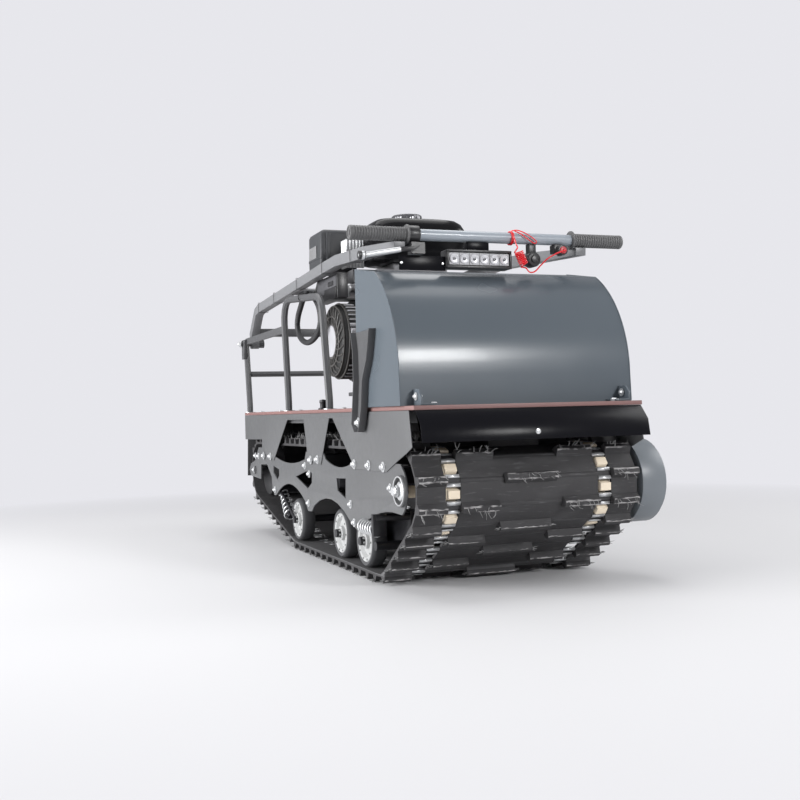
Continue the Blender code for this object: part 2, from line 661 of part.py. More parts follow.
def make_cage():
    """Side guards of bent round tube on the deck frame, each with its rear post, rail and pivot pin."""
    base = DECK_TOP - DECK_THICK
    knee = DECK_TOP + LEG_UPRIGHT
    for side, sign in SIDES:
        y = sign * CAGE_Y
        hoop = rounded_path([(HOOP_REAR_X, y, base), (HOOP_REAR_X, y, knee), (HOOP_REAR_X - 0.035, y, 0.694),
                             (HOOP_FRONT_X - 0.048, y, 0.665), (HOOP_FRONT_X, y, knee),
                             (HOOP_FRONT_X, y, base)], 0.055)
        post = rounded_path([(POST_FOOT_X, y, base), (POST_FOOT_X, y, knee), (POST_FOOT_X - 0.018, y, 0.510),
                             (PIVOT_X, y, PIVOT_Z + 0.012)], 0.05)
        pieces = [tube(line, CAGE_RADIUS) for line in (hoop, post)]
        rear = PIVOT_X + 0.010
        front = HOOP_REAR_X - 0.026
        pieces.append(block(((rear + front) / 2, y, PIVOT_Z + 0.0065), (front - rear, *SIDE_RAIL)))
        gusset = [(PIVOT_X - 0.014, PIVOT_Z + 0.012), (PIVOT_X - 0.012, PIVOT_Z - 0.050),
                  (PIVOT_X + 0.020, PIVOT_Z - 0.050), (PIVOT_X + 0.034, PIVOT_Z + 0.012)]
        low, high = sorted((sign * (CAGE_Y + 0.004), sign * (CAGE_Y + 0.012)))
        pieces.append(plate(gusset, low, high))
        inner = ARM_Y - ARM_WIDTH / 2
        knob = inner - 0.0005 - 0.017
        pieces.append(drum((PIVOT_X, sign * (CAGE_Y + 0.018 + knob) / 2, PIVOT_Z), "Y", PIN_RADIUS,
                           CAGE_Y + 0.018 - knob, 24))
        pieces.append(drum((PIVOT_X, sign * (inner - 0.009), PIVOT_Z), "Y", KNOB_RADIUS, 0.017, 16))
        fuse(f"side_guard_{side}", TUBE, pieces)
    reach = CAGE_Y - CAGE_RADIUS - GAP
    x, z = CROSS_RAIL
    keep(tube([(x, -reach, z), (x, reach, z)], CROSS_RAIL_RADIUS), "cross_rail_rear", TUBE)


def make_posts():
    """Folded channel posts beside the hood; rows give height, rear edge and front edge."""
    rows = ((0.327, 0.452, 0.478), (0.345, 0.434, 0.490), (0.380, 0.443, 0.504), (0.438, 0.455, 0.515),
            (0.480, 0.454, 0.545), (0.507, 0.453, 0.556), (0.545, 0.442, 0.568))
    wall = 0.003
    depth = 0.016
    near = HOOD_HALF + GAP
    outline = [(rear, z) for z, rear, front in rows] + [(front, z) for z, rear, front in reversed(rows)]
    hollow = [(rear + wall, z) for z, rear, front in rows] + [(0.445, 0.56), (0.565, 0.56)]
    hollow += [(front - wall, z) for z, rear, front in reversed(rows)] + [(0.475, 0.32), (0.455, 0.32)]
    for side, sign in SIDES:
        low, high = sorted((sign * near, sign * (near + depth)))
        body = plate(outline, low, high)
        low, high = sorted((sign * (near + wall), sign * (near + depth + 0.01)))
        combine(body, plate(hollow, low, high), "DIFFERENCE")
        keep(body, f"side_post_{side}", PLATE)


def make_engine():
    """Open single-cylinder engine on a raised base, with its tank, air box, silencer and controls."""
    base = DECK_TOP + GAP
    pieces = [block((ENGINE_X, 0.01, ENGINE_BASE_Z - 0.005), (0.26, 0.24, 0.010))]
    for x in (-0.09, 0.09):
        pieces.append(block((ENGINE_X + x, 0.01, (base + ENGINE_BASE_Z) / 2),
                            (0.04, 0.20, ENGINE_BASE_Z - base)))
    fuse("engine_base", TUBE, pieces)
    low = ENGINE_BASE_Z + GAP
    head_top = TANK_BOTTOM - GAP
    pieces = [block((ENGINE_X, 0.03, low + 0.080), (0.22, 0.2206, 0.160), 0.015)]
    pieces.append(block((ENGINE_X + 0.01, 0.03, (low + 0.15 + head_top) / 2),
                        (0.13, 0.15, head_top - low - 0.15)))
    for step in range(4):
        z = low + 0.175 + 0.022 * step
        pieces.append(block((ENGINE_X + 0.01, 0.035, z), (0.180, 0.19, 0.006)))
    intake_top = TANK_BOTTOM - 0.0035
    pieces.append(block((ENGINE_X - 0.100, -0.065, intake_top - 0.032), (0.130, 0.110, 0.064)))
    fuse("engine_block", CAST, pieces)
    keep(drum((ENGINE_X, -0.1105, ENGINE_Z), "Y", FAN_RADIUS, 0.060, 32), "fan_housing", BLACK)
    rim = drum((ENGINE_X, -0.1558, ENGINE_Z), "Y", FAN_RADIUS - 0.008, 0.030, 32)
    dome = drum((ENGINE_X, -0.1858, ENGINE_Z), "Y", 0.070, 0.030, 32, FAN_RADIUS - 0.010)
    fuse("recoil_starter", PLASTIC, [rim, dome])
    tank = block((0.045, 0.02, TANK_BOTTOM + 0.0555), (0.19, 0.26, 0.111), 0.02)
    keep(tank, "fuel_tank", PLASTIC)
    cap = drum((ENGINE_X + 0.030, 0.02, TANK_BOTTOM + 0.111 + GAP + 0.010), "Z", 0.034, 0.020, 24)
    keep(cap, "tank_cap", PLASTIC)
    air_bottom = TANK_BOTTOM - 0.003
    keep(block((-0.1140, -0.1435, air_bottom + 0.053), (0.112, 0.107, 0.106), 0.012), "air_box", PLASTIC)
    can = block((0.060, -0.0706, 0.7100), (0.110, 0.050, 0.060), 0.010)
    pipe = drum((0.038, -0.1250, 0.6950), "Y", 0.011, 0.070, 16)
    fuse("muffler", STEEL, [can, pipe])
    floor = ENGINE_Z + FAN_RADIUS + GAP
    box = block((0.0, -0.183, floor + 0.032), (0.180, 0.030, 0.064), 0.003)
    tab = block((ENGINE_X, -0.145, floor + 0.002), (0.060, 0.060, 0.004))
    fuse("control_box", PLASTIC, [box, tab])


def make_loom():
    """Loop of wiring that hangs inside the right guard from a clip on its top tube."""
    clip = CAGE_Y - CAGE_RADIUS - LOOM_RADIUS - 0.0008
    ring = ((-0.085, 0.692), (-0.106, 0.690), (-0.130, 0.681), (-0.158, 0.662), (-0.184, 0.640),
            (-0.194, 0.615), (-0.178, 0.590), (-0.142, 0.571), (-0.094, 0.562), (-0.042, 0.566),
            (0.004, 0.580), (0.029, 0.600), (0.032, 0.622), (0.020, 0.646), (-0.006, 0.666),
            (-0.036, 0.680), (-0.060, 0.684))
    keep(tube([(x, -clip, z) for x, z in ring], LOOM_RADIUS), "wiring_loom", RUBBER)


def make_cover():
    """Drive cover at the left end of the front axle."""
    inner = PLATE_Y + PLATE_THICK + GAP + SKIRT_THICK + GAP
    wide = drum((DRIVE_X, (COVER_OUT_Y + inner) / 2 - 0.003, DRIVE_Z), "Y", COVER_RADIUS,
                COVER_OUT_Y - inner - 0.006, 40)
    cap = drum((DRIVE_X, COVER_OUT_Y - 0.004, DRIVE_Z), "Y", COVER_RADIUS - 0.006, 0.008, 40)
    fuse("end_cover", PLATE, [wide, cap])


def make_hitch():
    """Tow tongue under the rear cross member, with a hole for the pin."""
    top = DECK_TOP - DECK_THICK - GAP - FRAME_TUBE - GAP
    tongue = block(((HITCH_REAR - 0.640) / 2, 0.0, top - 0.004), (-0.640 - HITCH_REAR, 0.060, 0.008))
    combine(tongue, drum((HITCH_REAR + 0.020, 0.0, top - 0.004), "Z", 0.0085, 0.05), "DIFFERENCE")
    keep(tongue, "tow_hitch", PLATE)


def arm_outline():
    """The outline of an arm: its line with half its depth on each side."""
    upper = []
    lower = []
    last = len(ARM_LINE) - 1
    for index, (x, z) in enumerate(ARM_LINE):
        ahead = ARM_LINE[min(index + 1, last)]
        behind = ARM_LINE[max(index - 1, 0)]
        run = Vector((ahead[0] - behind[0], ahead[1] - behind[1])).normalized()
        half = (ARM_END_DEPTH if index == last else ARM_DEPTH) / 2
        upper.append((x - run.y * half, z + run.x * half))
        lower.append((x + run.y * half, z - run.x * half))
    return upper + list(reversed(lower))


def make_handlebar():
    """Folding handlebar: two rectangular arms, cross tubes, a round crossbar and what it carries."""
    moving = []
    pieces = []
    for side, sign in SIDES:
        y = sign * ARM_Y
        pieces.append(plate(arm_outline(), y - ARM_WIDTH / 2, y + ARM_WIDTH / 2))
        pieces.append(drum((PIVOT_X, y, PIVOT_Z), "Y", 0.016, ARM_WIDTH, 20))
    pieces.append(block((-0.766, 0.0, 0.642), (0.025, 2 * ARM_Y, 0.025)))
    pieces.append(drum((-0.290, 0.0, 0.722), "Y", 0.010, 2 * ARM_Y, 16))
    frame = fuse("handlebar_frame", ARM, pieces)
    combine(frame, drum((PIVOT_X, 0.0, PIVOT_Z), "Y", PIN_RADIUS + 0.0005, 2 * ARM_Y + 0.1, 24), "DIFFERENCE")
    moving.append(frame)
    tip = BAR_HALF - GRIP_WALL - GAP
    bar = tube([(BAR_X, -tip, BAR_Z), (BAR_X, tip, BAR_Z)], BAR_RADIUS, 4)
    moving.append(keep(bar, "crossbar", SHEET))
    bore = BAR_RADIUS + GAP
    for side, sign in SIDES:
        middle = sign * (BAR_HALF - GRIP_LENGTH / 2)
        grip = drum((BAR_X, middle, BAR_Z), "Y", GRIP_RADIUS, GRIP_LENGTH, 24)
        flange = sign * (BAR_HALF - GRIP_LENGTH + 0.002)
        combine(grip, drum((BAR_X, flange, BAR_Z), "Y", FLANGE_RADIUS, 0.004, 24), "UNION")
        hollow = drum((BAR_X, middle - sign * (GRIP_WALL + 0.01), BAR_Z), "Y", bore, GRIP_LENGTH + 0.02, 24)
        combine(grip, hollow, "DIFFERENCE")
        moving.append(keep(grip, f"grip_{side}", RUBBER))
    clamp_end = -(BAR_HALF - GRIP_LENGTH - GAP)
    clamp = drum((BAR_X, clamp_end + 0.012, BAR_Z), "Y", CLAMP_RADIUS, 0.024, 24)
    combine(clamp, drum((BAR_X, clamp_end + 0.012, BAR_Z), "Y", bore, 0.05, 24), "DIFFERENCE")
    moving.append(keep(clamp, "throttle_clamp", PLASTIC))
    under = BAR_Z - CLAMP_RADIUS - GAP
    root = block((BAR_X + 0.012, clamp_end + 0.015, under - 0.012), (0.024, 0.030, 0.024))
    blade = tube([(BAR_X + 0.016, clamp_end + 0.010, under - 0.012),
                  (BAR_X + 0.034, clamp_end - 0.030, under - 0.0187),
                  (BAR_X + 0.036, clamp_end - 0.070, under - 0.0257),
                  (BAR_X + 0.034, clamp_end - 0.112, under - 0.0327)], 0.0055)
    knob = drum((BAR_X + 0.034, clamp_end - 0.114, under - 0.0327), "Y", 0.009, 0.014, 12)
    moving.append(fuse("brake_lever", STEEL, [root, blade, knob]))
    low = BAR_Z - BAR_RADIUS - GAP
    body = block((BAR_X + 0.005, SWITCH_Y, low - 0.0095), (0.022, 0.026, 0.019))
    button = drum((BAR_X + 0.022, SWITCH_Y, low - 0.014), "X", 0.0115, 0.020, 20)
    moving.append(fuse("kill_switch", PLASTIC, [body, button]))
    lamp_top = 0.7115
    stay = block((BAR_X, -0.036, (low + lamp_top + GAP) / 2), (0.024, 0.050, low - lamp_top - GAP))
    moving.append(keep(stay, "lamp_stay", BLACK))
    lamp = block((BAR_X - 0.002, -0.036, lamp_top - 0.020), (0.034, 0.153, 0.040), 0.003)
    moving.append(keep(lamp, "lamp_bar", BLACK))
    front = BAR_X + BAR_RADIUS + LANYARD_RADIUS + GAP
    start = BAR_X + 0.032 + LANYARD_RADIUS + GAP
    path = [(start, 0.0, 0.7130), (start, 0.020, 0.7090), (0.6140, 0.039, 0.7010), (0.6130, 0.057, 0.6900),
            (0.6120, 0.074, 0.6780), (0.6110, 0.087, 0.6700), (0.6100, 0.098, 0.6740),
            (0.6100, 0.107, 0.6870),
            (0.6090, 0.114, 0.7020), (0.6080, 0.119, 0.7160), (0.6040, 0.119, 0.7290), (front, 0.115, 0.7420)]
    coil = [(x, SWITCH_Y - back, z) for x, back, z in path]
    moving.append(keep(tube(coil, LANYARD_RADIUS), "lanyard", RED))
    pivot = bpy.data.objects.new("handlebar_pivot", None)
    pivot.location = (PIVOT_X, 0.0, PIVOT_Z)
    parts.objects.link(pivot)
    for piece in moving:
        piece.parent = pivot
        piece.matrix_parent_inverse = Matrix.Translation((-PIVOT_X, 0.0, -PIVOT_Z))


make_track()
make_drive()
make_rollers()
make_suspension()
make_side_plates()
make_skirts()
make_apron()
make_flap()
make_deck()
make_hood()
make_cage()
make_posts()
make_engine()
make_loom()
make_cover()
make_hitch()
make_handlebar()
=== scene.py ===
import math
import random

import bmesh
import bpy
from mathutils import Matrix, Vector


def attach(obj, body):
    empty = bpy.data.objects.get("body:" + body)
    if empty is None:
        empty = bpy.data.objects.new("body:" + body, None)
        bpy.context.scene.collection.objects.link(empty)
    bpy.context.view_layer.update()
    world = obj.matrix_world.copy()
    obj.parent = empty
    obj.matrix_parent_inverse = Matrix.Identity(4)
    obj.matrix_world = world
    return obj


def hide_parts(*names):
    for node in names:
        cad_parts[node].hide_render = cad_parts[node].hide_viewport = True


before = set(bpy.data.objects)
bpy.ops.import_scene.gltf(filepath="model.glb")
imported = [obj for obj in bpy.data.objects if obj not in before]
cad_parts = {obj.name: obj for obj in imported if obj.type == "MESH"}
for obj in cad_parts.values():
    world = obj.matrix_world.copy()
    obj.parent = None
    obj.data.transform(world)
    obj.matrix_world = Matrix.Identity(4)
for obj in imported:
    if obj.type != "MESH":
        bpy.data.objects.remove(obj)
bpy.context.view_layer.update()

# Camera
# A camera low in front of the machine's right front corner, level with the track,
# placed and turned as the photograph was taken.
CAMERA_PLACE = Vector((2.6564, -1.0057, 0.3662))
CAMERA_YAW = math.radians(20.711)
CAMERA_PITCH = math.radians(0.703)
CAMERA_ROLL = math.radians(-1.488)
LENS_LENGTH = 47.7
SENSOR_WIDTH = 36.0

ahead = Vector((-math.cos(CAMERA_YAW) * math.cos(CAMERA_PITCH),
                math.sin(CAMERA_YAW) * math.cos(CAMERA_PITCH), math.sin(CAMERA_PITCH)))
level_right = Vector((math.sin(CAMERA_YAW), math.cos(CAMERA_YAW), 0.0))
level_up = level_right.cross(ahead)
right = level_right * math.cos(CAMERA_ROLL) + level_up * math.sin(CAMERA_ROLL)
up = level_up * math.cos(CAMERA_ROLL) - level_right * math.sin(CAMERA_ROLL)
lens = bpy.data.cameras.new("photo_camera")
lens.lens = LENS_LENGTH
lens.sensor_width = SENSOR_WIDTH
camera = bpy.data.objects.new("photo_camera", lens)
bpy.context.scene.collection.objects.link(camera)
turned_to = Matrix((right, up, -ahead)).transposed().to_4x4()
camera.matrix_world = Matrix.Translation(CAMERA_PLACE) @ turned_to
bpy.context.scene.camera = camera

# Red lanyard of the engine stop switch
# A thin plastic cord wound into a curl, from the switch cap to a knot on the crossbar. The
# curl is a helix round a hanging line, and runs out straight at both ends.


class Signal:
    """A shader value in a Python expression; each operator adds its Math node."""

    def __init__(self, finish, socket):
        self.finish = finish
        self.socket = socket

    def math(self, operation, first, second):
        made = self.finish.node("ShaderNodeMath", {"operation": operation}, {0: first, 1: second})
        return Signal(self.finish, made.outputs[0])

    def __add__(self, other):
        return self.math("ADD", self, other)

    def __sub__(self, other):
        return self.math("SUBTRACT", self, other)

    def __mul__(self, other):
        return self.math("MULTIPLY", self, other)

    def __truediv__(self, other):
        return self.math("DIVIDE", self, other)

    def __gt__(self, other):
        return self.math("GREATER_THAN", self, other)

    def __lt__(self, other):
        return self.math("LESS_THAN", self, other)

    def held(self):
        """The value kept between 0 and 1."""
        made = self.finish.node("ShaderNodeClamp", {}, {"Value": self})
        return Signal(self.finish, made.outputs[0])

    def wave(self):
        """The sine of the value."""
        return self.math("SINE", self, 0.0)

    def size(self):
        """The value without its sign."""
        return self.math("ABSOLUTE", self, 0.0)


class Finish:
    """A Principled material to which nodes are added."""

    def __init__(self, name, colour, roughness, metallic=0.0, coat=0.0, specular=0.5):
        self.material = bpy.data.materials.new(name)
        self.material.use_nodes = True
        self.tree = self.material.node_tree
        self.shader = self.tree.nodes["Principled BSDF"]
        self.set("Base Color", (*colour, 1.0))
        self.set("Roughness", roughness)
        self.set("Metallic", metallic)
        self.set("Specular IOR Level", specular)
        self.set("Coat Weight", coat)
        self.set("Coat Roughness", 0.08)

    def node(self, kind, settings, sockets):
        """A node of one type, with its settings and the values or links of its sockets."""
        made = self.tree.nodes.new(kind)
        for name, value in settings.items():
            setattr(made, name, value)
        for name, value in sockets.items():
            self.feed(made.inputs[name], value)
        return made

    def feed(self, socket, value):
        if isinstance(value, Signal):
            self.tree.links.new(value.socket, socket)
        elif isinstance(value, bpy.types.NodeSocket):
            self.tree.links.new(value, socket)
        else:
            socket.default_value = value

    def set(self, name, value):
        self.feed(self.shader.inputs[name], value)

    def place(self):
        """X, Y and Z over the piece, in metres."""
        where = self.node("ShaderNodeTexCoord", {}, {}).outputs["Object"]
        split = self.node("ShaderNodeSeparateXYZ", {}, {"Vector": where})
        return [Signal(self, split.outputs[axis]) for axis in "XYZ"]

    def grain(self, scale, detail=3.0, stretch=(1.0, 1.0, 1.0)):
        """Noise over the piece, its scale per metre, stretched along the axes."""
        where = self.node("ShaderNodeTexCoord", {}, {}).outputs["Object"]
        mapped = self.node("ShaderNodeMapping", {}, {"Vector": where, "Scale": stretch})
        sockets = {"Vector": mapped.outputs["Vector"], "Scale": scale, "Detail": detail}
        made = self.node("ShaderNodeTexNoise", {}, sockets)
        return Signal(self, made.outputs["Fac"])

    def mix(self, mask, first, second):
        """A colour between two others."""
        made = self.node("ShaderNodeMix", {"data_type": "RGBA"}, {0: mask})
        for index, value in ((6, first), (7, second)):
            self.feed(made.inputs[index], value if hasattr(value, "links") else (*value, 1.0))
        return made.outputs[2]

    def bump(self, height, distance):
        """A raised surface of a height in metres."""
        sockets = {"Height": height, "Distance": distance, "Strength": 1.0}
        self.set("Normal", self.node("ShaderNodeBump", {}, sockets).outputs["Normal"])

    def rough(self, spread, least, scale, detail=3.0):
        """Roughness that varies with the grain, from its least."""
        self.set("Roughness", self.grain(scale, detail) * spread + least)

    def tint(self, first, second, scale, detail=3.0):
        """A base colour that varies with the grain between two."""
        self.set("Base Color", self.mix(self.grain(scale, detail), first, second))

    def texture(self, distance, scale, detail=3.0):
        """A fine raised grain of a height in metres."""
        self.bump(self.grain(scale, detail), distance)


def plastic(name, colour, roughness, texture=900.0):
    """Moulded plastic: an even colour, a fine matt texture and a few smoother patches."""
    made = Finish(name, colour, roughness)
    patches = made.grain(14.0)
    made.set("Roughness", patches * 0.16 + (roughness - 0.08))
    darker, lighter = [tuple(part * level for part in colour) for level in (0.88, 1.12)]
    made.set("Base Color", made.mix(patches, darker, lighter))
    made.texture(0.00012, texture, 2.0)
    return made


def skin(shape, rows, closed=False):
    """Faces from each row of points to the next; closed joins a row's last point to its first."""
    for first, second in zip(rows, rows[1:]):
        count = len(first)
        for index in range(count if closed else count - 1):
            after = (index + 1) % count
            shape.faces.new((first[index], first[after], second[after], second[index]))


def ring(shape, centre, across, other, radius, sides):
    """New points round a centre, in the plane of two directions."""
    made = []
    for side in range(sides):
        turn = 2 * math.pi * side / sides
        around = across * math.cos(turn) + other * math.sin(turn)
        made.append(shape.verts.new(centre + around * radius))
    return made


def sweep(shape, points, radius, sides=8, closed=False):
    """A tube along points; its radius is one number, or one to a point."""
    points = [Vector(point) for point in points]
    radii = [radius] * len(points) if isinstance(radius, float) else radius
    count = len(points)
    rings = []
    across = None
    for index, point in enumerate(points):
        ahead = points[(index + 1) % count] if closed or index < count - 1 else point
        behind = points[index - 1] if closed or index > 0 else point
        run = (ahead - behind).normalized()
        if across is None:
            across = run.orthogonal().normalized()
        across = (across - run * across.dot(run)).normalized()
        rings.append(ring(shape, point, across, run.cross(across), radii[index], sides))
    skin(shape, rings + rings[:1] if closed else rings, closed=True)
    if not closed:
        shape.faces.new(rings[0][::-1])
        shape.faces.new(rings[-1])


def smooth_line(points, steps=6):
    """A rounder line through points, with so many steps from each to the next."""
    points = [Vector(point) for point in points]
    line = []
    for index in range(len(points) - 1):
        before = points[max(index - 1, 0)]
        start, end = points[index], points[index + 1]
        after = points[min(index + 2, len(points) - 1)]
        for step in range(steps):
            t = step / steps
            bow = 2 * before - 5 * start + 4 * end - after
            twist = 3 * start - before - 3 * end + after
            line.append(0.5 * (2 * start + (end - before) * t + bow * t * t + twist * t ** 3))
    line.append(points[-1])
    return line


def make_piece(name, shape, finish, body="chassis", turn=35.0, bevel=0.0, stands_for=None):
    """A named piece from a mesh: its finish, edges and body, and the CAD node it stands for."""
    bmesh.ops.recalc_face_normals(shape, faces=shape.faces)
    mesh = bpy.data.meshes.new(name)
    shape.to_mesh(mesh)
    shape.free()
    mesh.materials.append(finish.material)
    made = bpy.data.objects.new(name, mesh)
    bpy.context.scene.collection.objects.link(made)
    soften(made, turn, bevel)
    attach(made, body)
    if stands_for:
        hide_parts(stands_for)
    return made


def soften(made, turn, bevel):
    """Rounded edges of a small width, and smooth shading up to an angle."""
    for face in made.data.polygons:
        face.use_smooth = True
    if bevel > 0.0:
        edges = made.modifiers.new("edges", "BEVEL")
        edges.width = bevel
        edges.segments = 2
        edges.limit_method = "ANGLE"
        edges.angle_limit = math.radians(turn)
    split = made.modifiers.new("split", "EDGE_SPLIT")
    split.split_angle = math.radians(turn)


def path_length(points):
    """The length of a line through points."""
    return sum((end - start).length for start, end in zip(points, points[1:]))


# The curl opens and closes over CURL_EASE, and there moves on by EASY_STEP more for each radian.
CORD_RADIUS = 0.0015
CURL_RADIUS = 0.0088
CURL_PITCH = 0.0038
CURL_EASE = 0.018
EASY_STEP = 0.012
CURL_FROM = 0.56
CURL_TO = 0.9
LANYARD_LINE = ((0.6198, 0.16, 0.713), (0.619, 0.14, 0.706), (0.615, 0.12, 0.695),
                (0.613, 0.103, 0.68), (0.612, 0.089, 0.6665), (0.6115, 0.077, 0.664),
                (0.6115, 0.068, 0.672), (0.6112, 0.06, 0.686), (0.6108, 0.0535, 0.701),
                (0.609, 0.049, 0.715), (0.6055, 0.0465, 0.7285), (0.6003, 0.045, 0.742))

line = smooth_line(LANYARD_LINE, 140)
travelled = [0.0]
for start, end in zip(line, line[1:]):
    travelled.append(travelled[-1] + (end - start).length)
lanyard_path = []
turn = 0.0
for index, point in enumerate(line):
    run = (line[min(index + 1, len(line) - 1)] - line[max(index - 1, 0)]).normalized()
    side = Vector((1.0, 0.0, 0.0))
    side = (side - run * side.dot(run)).normalized()
    gone = travelled[index]
    opened = min(gone - CURL_FROM * travelled[-1], CURL_TO * travelled[-1] - gone) / CURL_EASE
    opened = min(1.0, max(0.0, opened))
    reach = CURL_RADIUS * math.sin(opened * math.pi / 2) ** 2
    advance = CURL_PITCH / (2 * math.pi) + EASY_STEP * (1.0 - opened)
    turn += (gone - travelled[max(index - 1, 0)]) / advance
    lanyard_path.append(point + (side * math.cos(turn) + run.cross(side) * math.sin(turn)) * reach)

red_cord = Finish("red_cord", (0.72, 0.012, 0.02), 0.3, coat=0.3)
red_cord.rough(0.2, 0.22, 300.0)
shape = bmesh.new()
sweep(shape, lanyard_path, CORD_RADIUS, 8)
lanyard = make_piece("lanyard_cord", shape, red_cord, "handlebar")
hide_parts("lanyard")
path_length(lanyard_path)

# Wiring loom
# A corrugated plastic sleeve that hangs in one loop inside the right guard, from a clip on its
# top tube and back up to the same clip.
LOOM_Y = -0.2267
LOOM_RADIUS = 0.0078
GROOVE_DEPTH = 0.0009
LOOM_LINE = ((-0.085, 0.692), (-0.106, 0.69), (-0.13, 0.681), (-0.158, 0.662), (-0.184, 0.64),
             (-0.194, 0.615), (-0.178, 0.59), (-0.142, 0.571), (-0.094, 0.562), (-0.042, 0.566),
             (0.004, 0.58), (0.029, 0.6), (0.032, 0.622), (0.02, 0.646), (-0.006, 0.666),
             (-0.036, 0.68), (-0.06, 0.684))

loom_path = smooth_line([(x, LOOM_Y, z) for x, z in LOOM_LINE], 14)
loom_radii = [LOOM_RADIUS - (GROOVE_DEPTH if index % 3 == 0 else 0.0)
              for index in range(len(loom_path))]
black_sleeve = plastic("black_sleeve", (0.02, 0.02, 0.022), 0.5)
shape = bmesh.new()
sweep(shape, loom_path, loom_radii, 16)
loom = make_piece("loom_sleeve", shape, black_sleeve, turn=60.0)
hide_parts("wiring_loom")
path_length(loom_path)

# Floor, light and background
# A plain pale floor that runs out into an even pale room, under large soft lamps: the
# strongest on the machine's right, one above, and weak ones on the left and in front.
FLOOR_COLOUR = (0.65, 0.65, 0.66)
ROOM_COLOUR = (0.8, 0.8, 0.84)
ROOM_LIGHT = 0.42
FADE_FROM = 1.3
FADE_OVER = 5.5
LAMP_AIM = Vector((0.0, 0.0, 0.4))
LAMPS = (("lamp_right", (0.0, -3.8, 1.1), 2.4, 250.0), ("lamp_above", (-0.5, 0.0, 3.0), 2.6, 54.0),
         ("lamp_left", (0.8, 3.2, 2.0), 1.8, 52.0), ("lamp_front", (3.8, 1.1, 1.7), 0.7, 68.0))

shape = bmesh.new()
bmesh.ops.create_grid(shape, x_segments=1, y_segments=1, size=30.0)
floor_mesh = bpy.data.meshes.new("floor")
shape.to_mesh(floor_mesh)
shape.free()
floor = bpy.data.objects.new("floor", floor_mesh)
bpy.context.scene.collection.objects.link(floor)
pale = Finish("pale_floor", FLOOR_COLOUR, 0.55)
x, y, z = pale.place()
far = ((x * x + y * y) - FADE_FROM) / FADE_OVER
seen = Signal(pale, pale.node("ShaderNodeLightPath", {}, {}).outputs["Is Camera Ray"])
glow = pale.node("ShaderNodeEmission", {}, {"Color": (*ROOM_COLOUR, 1.0), "Strength": 1.0})
blend = pale.node("ShaderNodeMixShader", {}, {0: far.held() * seen, 1: pale.shader.outputs["BSDF"],
                                              2: glow.outputs["Emission"]})
pale.feed(pale.tree.nodes["Material Output"].inputs["Surface"], blend.outputs["Shader"])
floor_mesh.materials.append(pale.material)

for name, place, size, power in LAMPS:
    light = bpy.data.lights.new(name, "AREA")
    light.size = size
    light.energy = power
    lamp = bpy.data.objects.new(name, light)
    bpy.context.scene.collection.objects.link(lamp)
    lamp.location = place
    lamp.rotation_euler = (LAMP_AIM - Vector(place)).to_track_quat("-Z", "Y").to_euler()

world = bpy.data.worlds.new("pale_room")
bpy.context.scene.world = world
world.use_nodes = True
sky = world.node_tree.nodes["Background"]
sky.inputs["Color"].default_value = (*ROOM_COLOUR, 1.0)
path = world.node_tree.nodes.new("ShaderNodeLightPath")
level = world.node_tree.nodes.new("ShaderNodeMapRange")
level.inputs["To Min"].default_value = ROOM_LIGHT
level.inputs["To Max"].default_value = 1.0
world.node_tree.links.new(path.outputs["Is Camera Ray"], level.inputs["Value"])
world.node_tree.links.new(level.outputs["Result"], sky.inputs["Strength"])
bpy.context.scene.view_settings.view_transform = "Standard"

# Rubber track
# A moulded rubber belt with two rows of windows and steel clips at their edges. Lugs in two
# alternating rows stand on it, with worn edges and moulding hairs, and thin ridges lie beside them.
TOUCHING = 0.00001


def dress(name, finish, turn=35.0, bevel=0.0):
    """Gives a CAD node its finish, soft edges and smooth round faces."""
    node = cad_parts[name]
    node.data.materials.clear()
    node.data.materials.append(finish.material)
    flat = node.data.attributes.get("custom_normal")
    if flat is not None:
        node.data.attributes.remove(flat)
    weld = node.modifiers.new("weld", "WELD")
    weld.merge_threshold = TOUCHING
    if bevel > 0.0:
        flats = node.modifiers.new("flats", "DECIMATE")
        flats.decimate_type = "DISSOLVE"
        flats.angle_limit = math.radians(0.5)
    soften(node, turn, bevel)


# A row of lugs gives each lug's two ends; a wheel gives its place along, its height and its radius.
TRACK_LINKS = 60
BELT_THICK = 0.006
LUG_HEIGHT = 0.015
LUG_TOP = 0.009
LUG_SLOPE = 0.48
LUG_ROWS = (((-0.25, -0.188), (-0.058, 0.058), (0.188, 0.25)),
            ((-0.25, -0.188), (-0.156, -0.073), (0.073, 0.156), (0.188, 0.25)))
WHEELS = ((0.65, 0.206, 0.081), (-0.61, 0.2, 0.081), (-0.18, 0.081, 0.06), (0.5, 0.081, 0.06))


def belt_pieces():
    """The belt's inner face as arcs round the four wheels and straight runs between them."""
    turns = []
    for (x0, z0, r0), (x1, z1, r1) in zip(WHEELS, WHEELS[1:] + WHEELS[:1]):
        lean = math.acos((r0 - r1) / math.hypot(x1 - x0, z1 - z0))
        turns.append(math.atan2(z1 - z0, x1 - x0) - lean)
    made = []
    for index, (x, z, r) in enumerate(WHEELS):
        x1, z1, r1 = WHEELS[(index + 1) % len(WHEELS)]
        before, after = turns[index - 1], turns[index]
        while after < before:
            after += 2 * math.pi
        made.append(("arc", (x, z), r, before, r * (after - before)))
        out = Vector((math.cos(after), math.sin(after)))
        start = Vector((x, z)) + out * r
        run = Vector((x1, z1)) + out * r1 - start
        made.append(("run", start, run, out, run.length))
    return made


BELT = belt_pieces()
PITCH = sum(piece[-1] for piece in BELT) / TRACK_LINKS


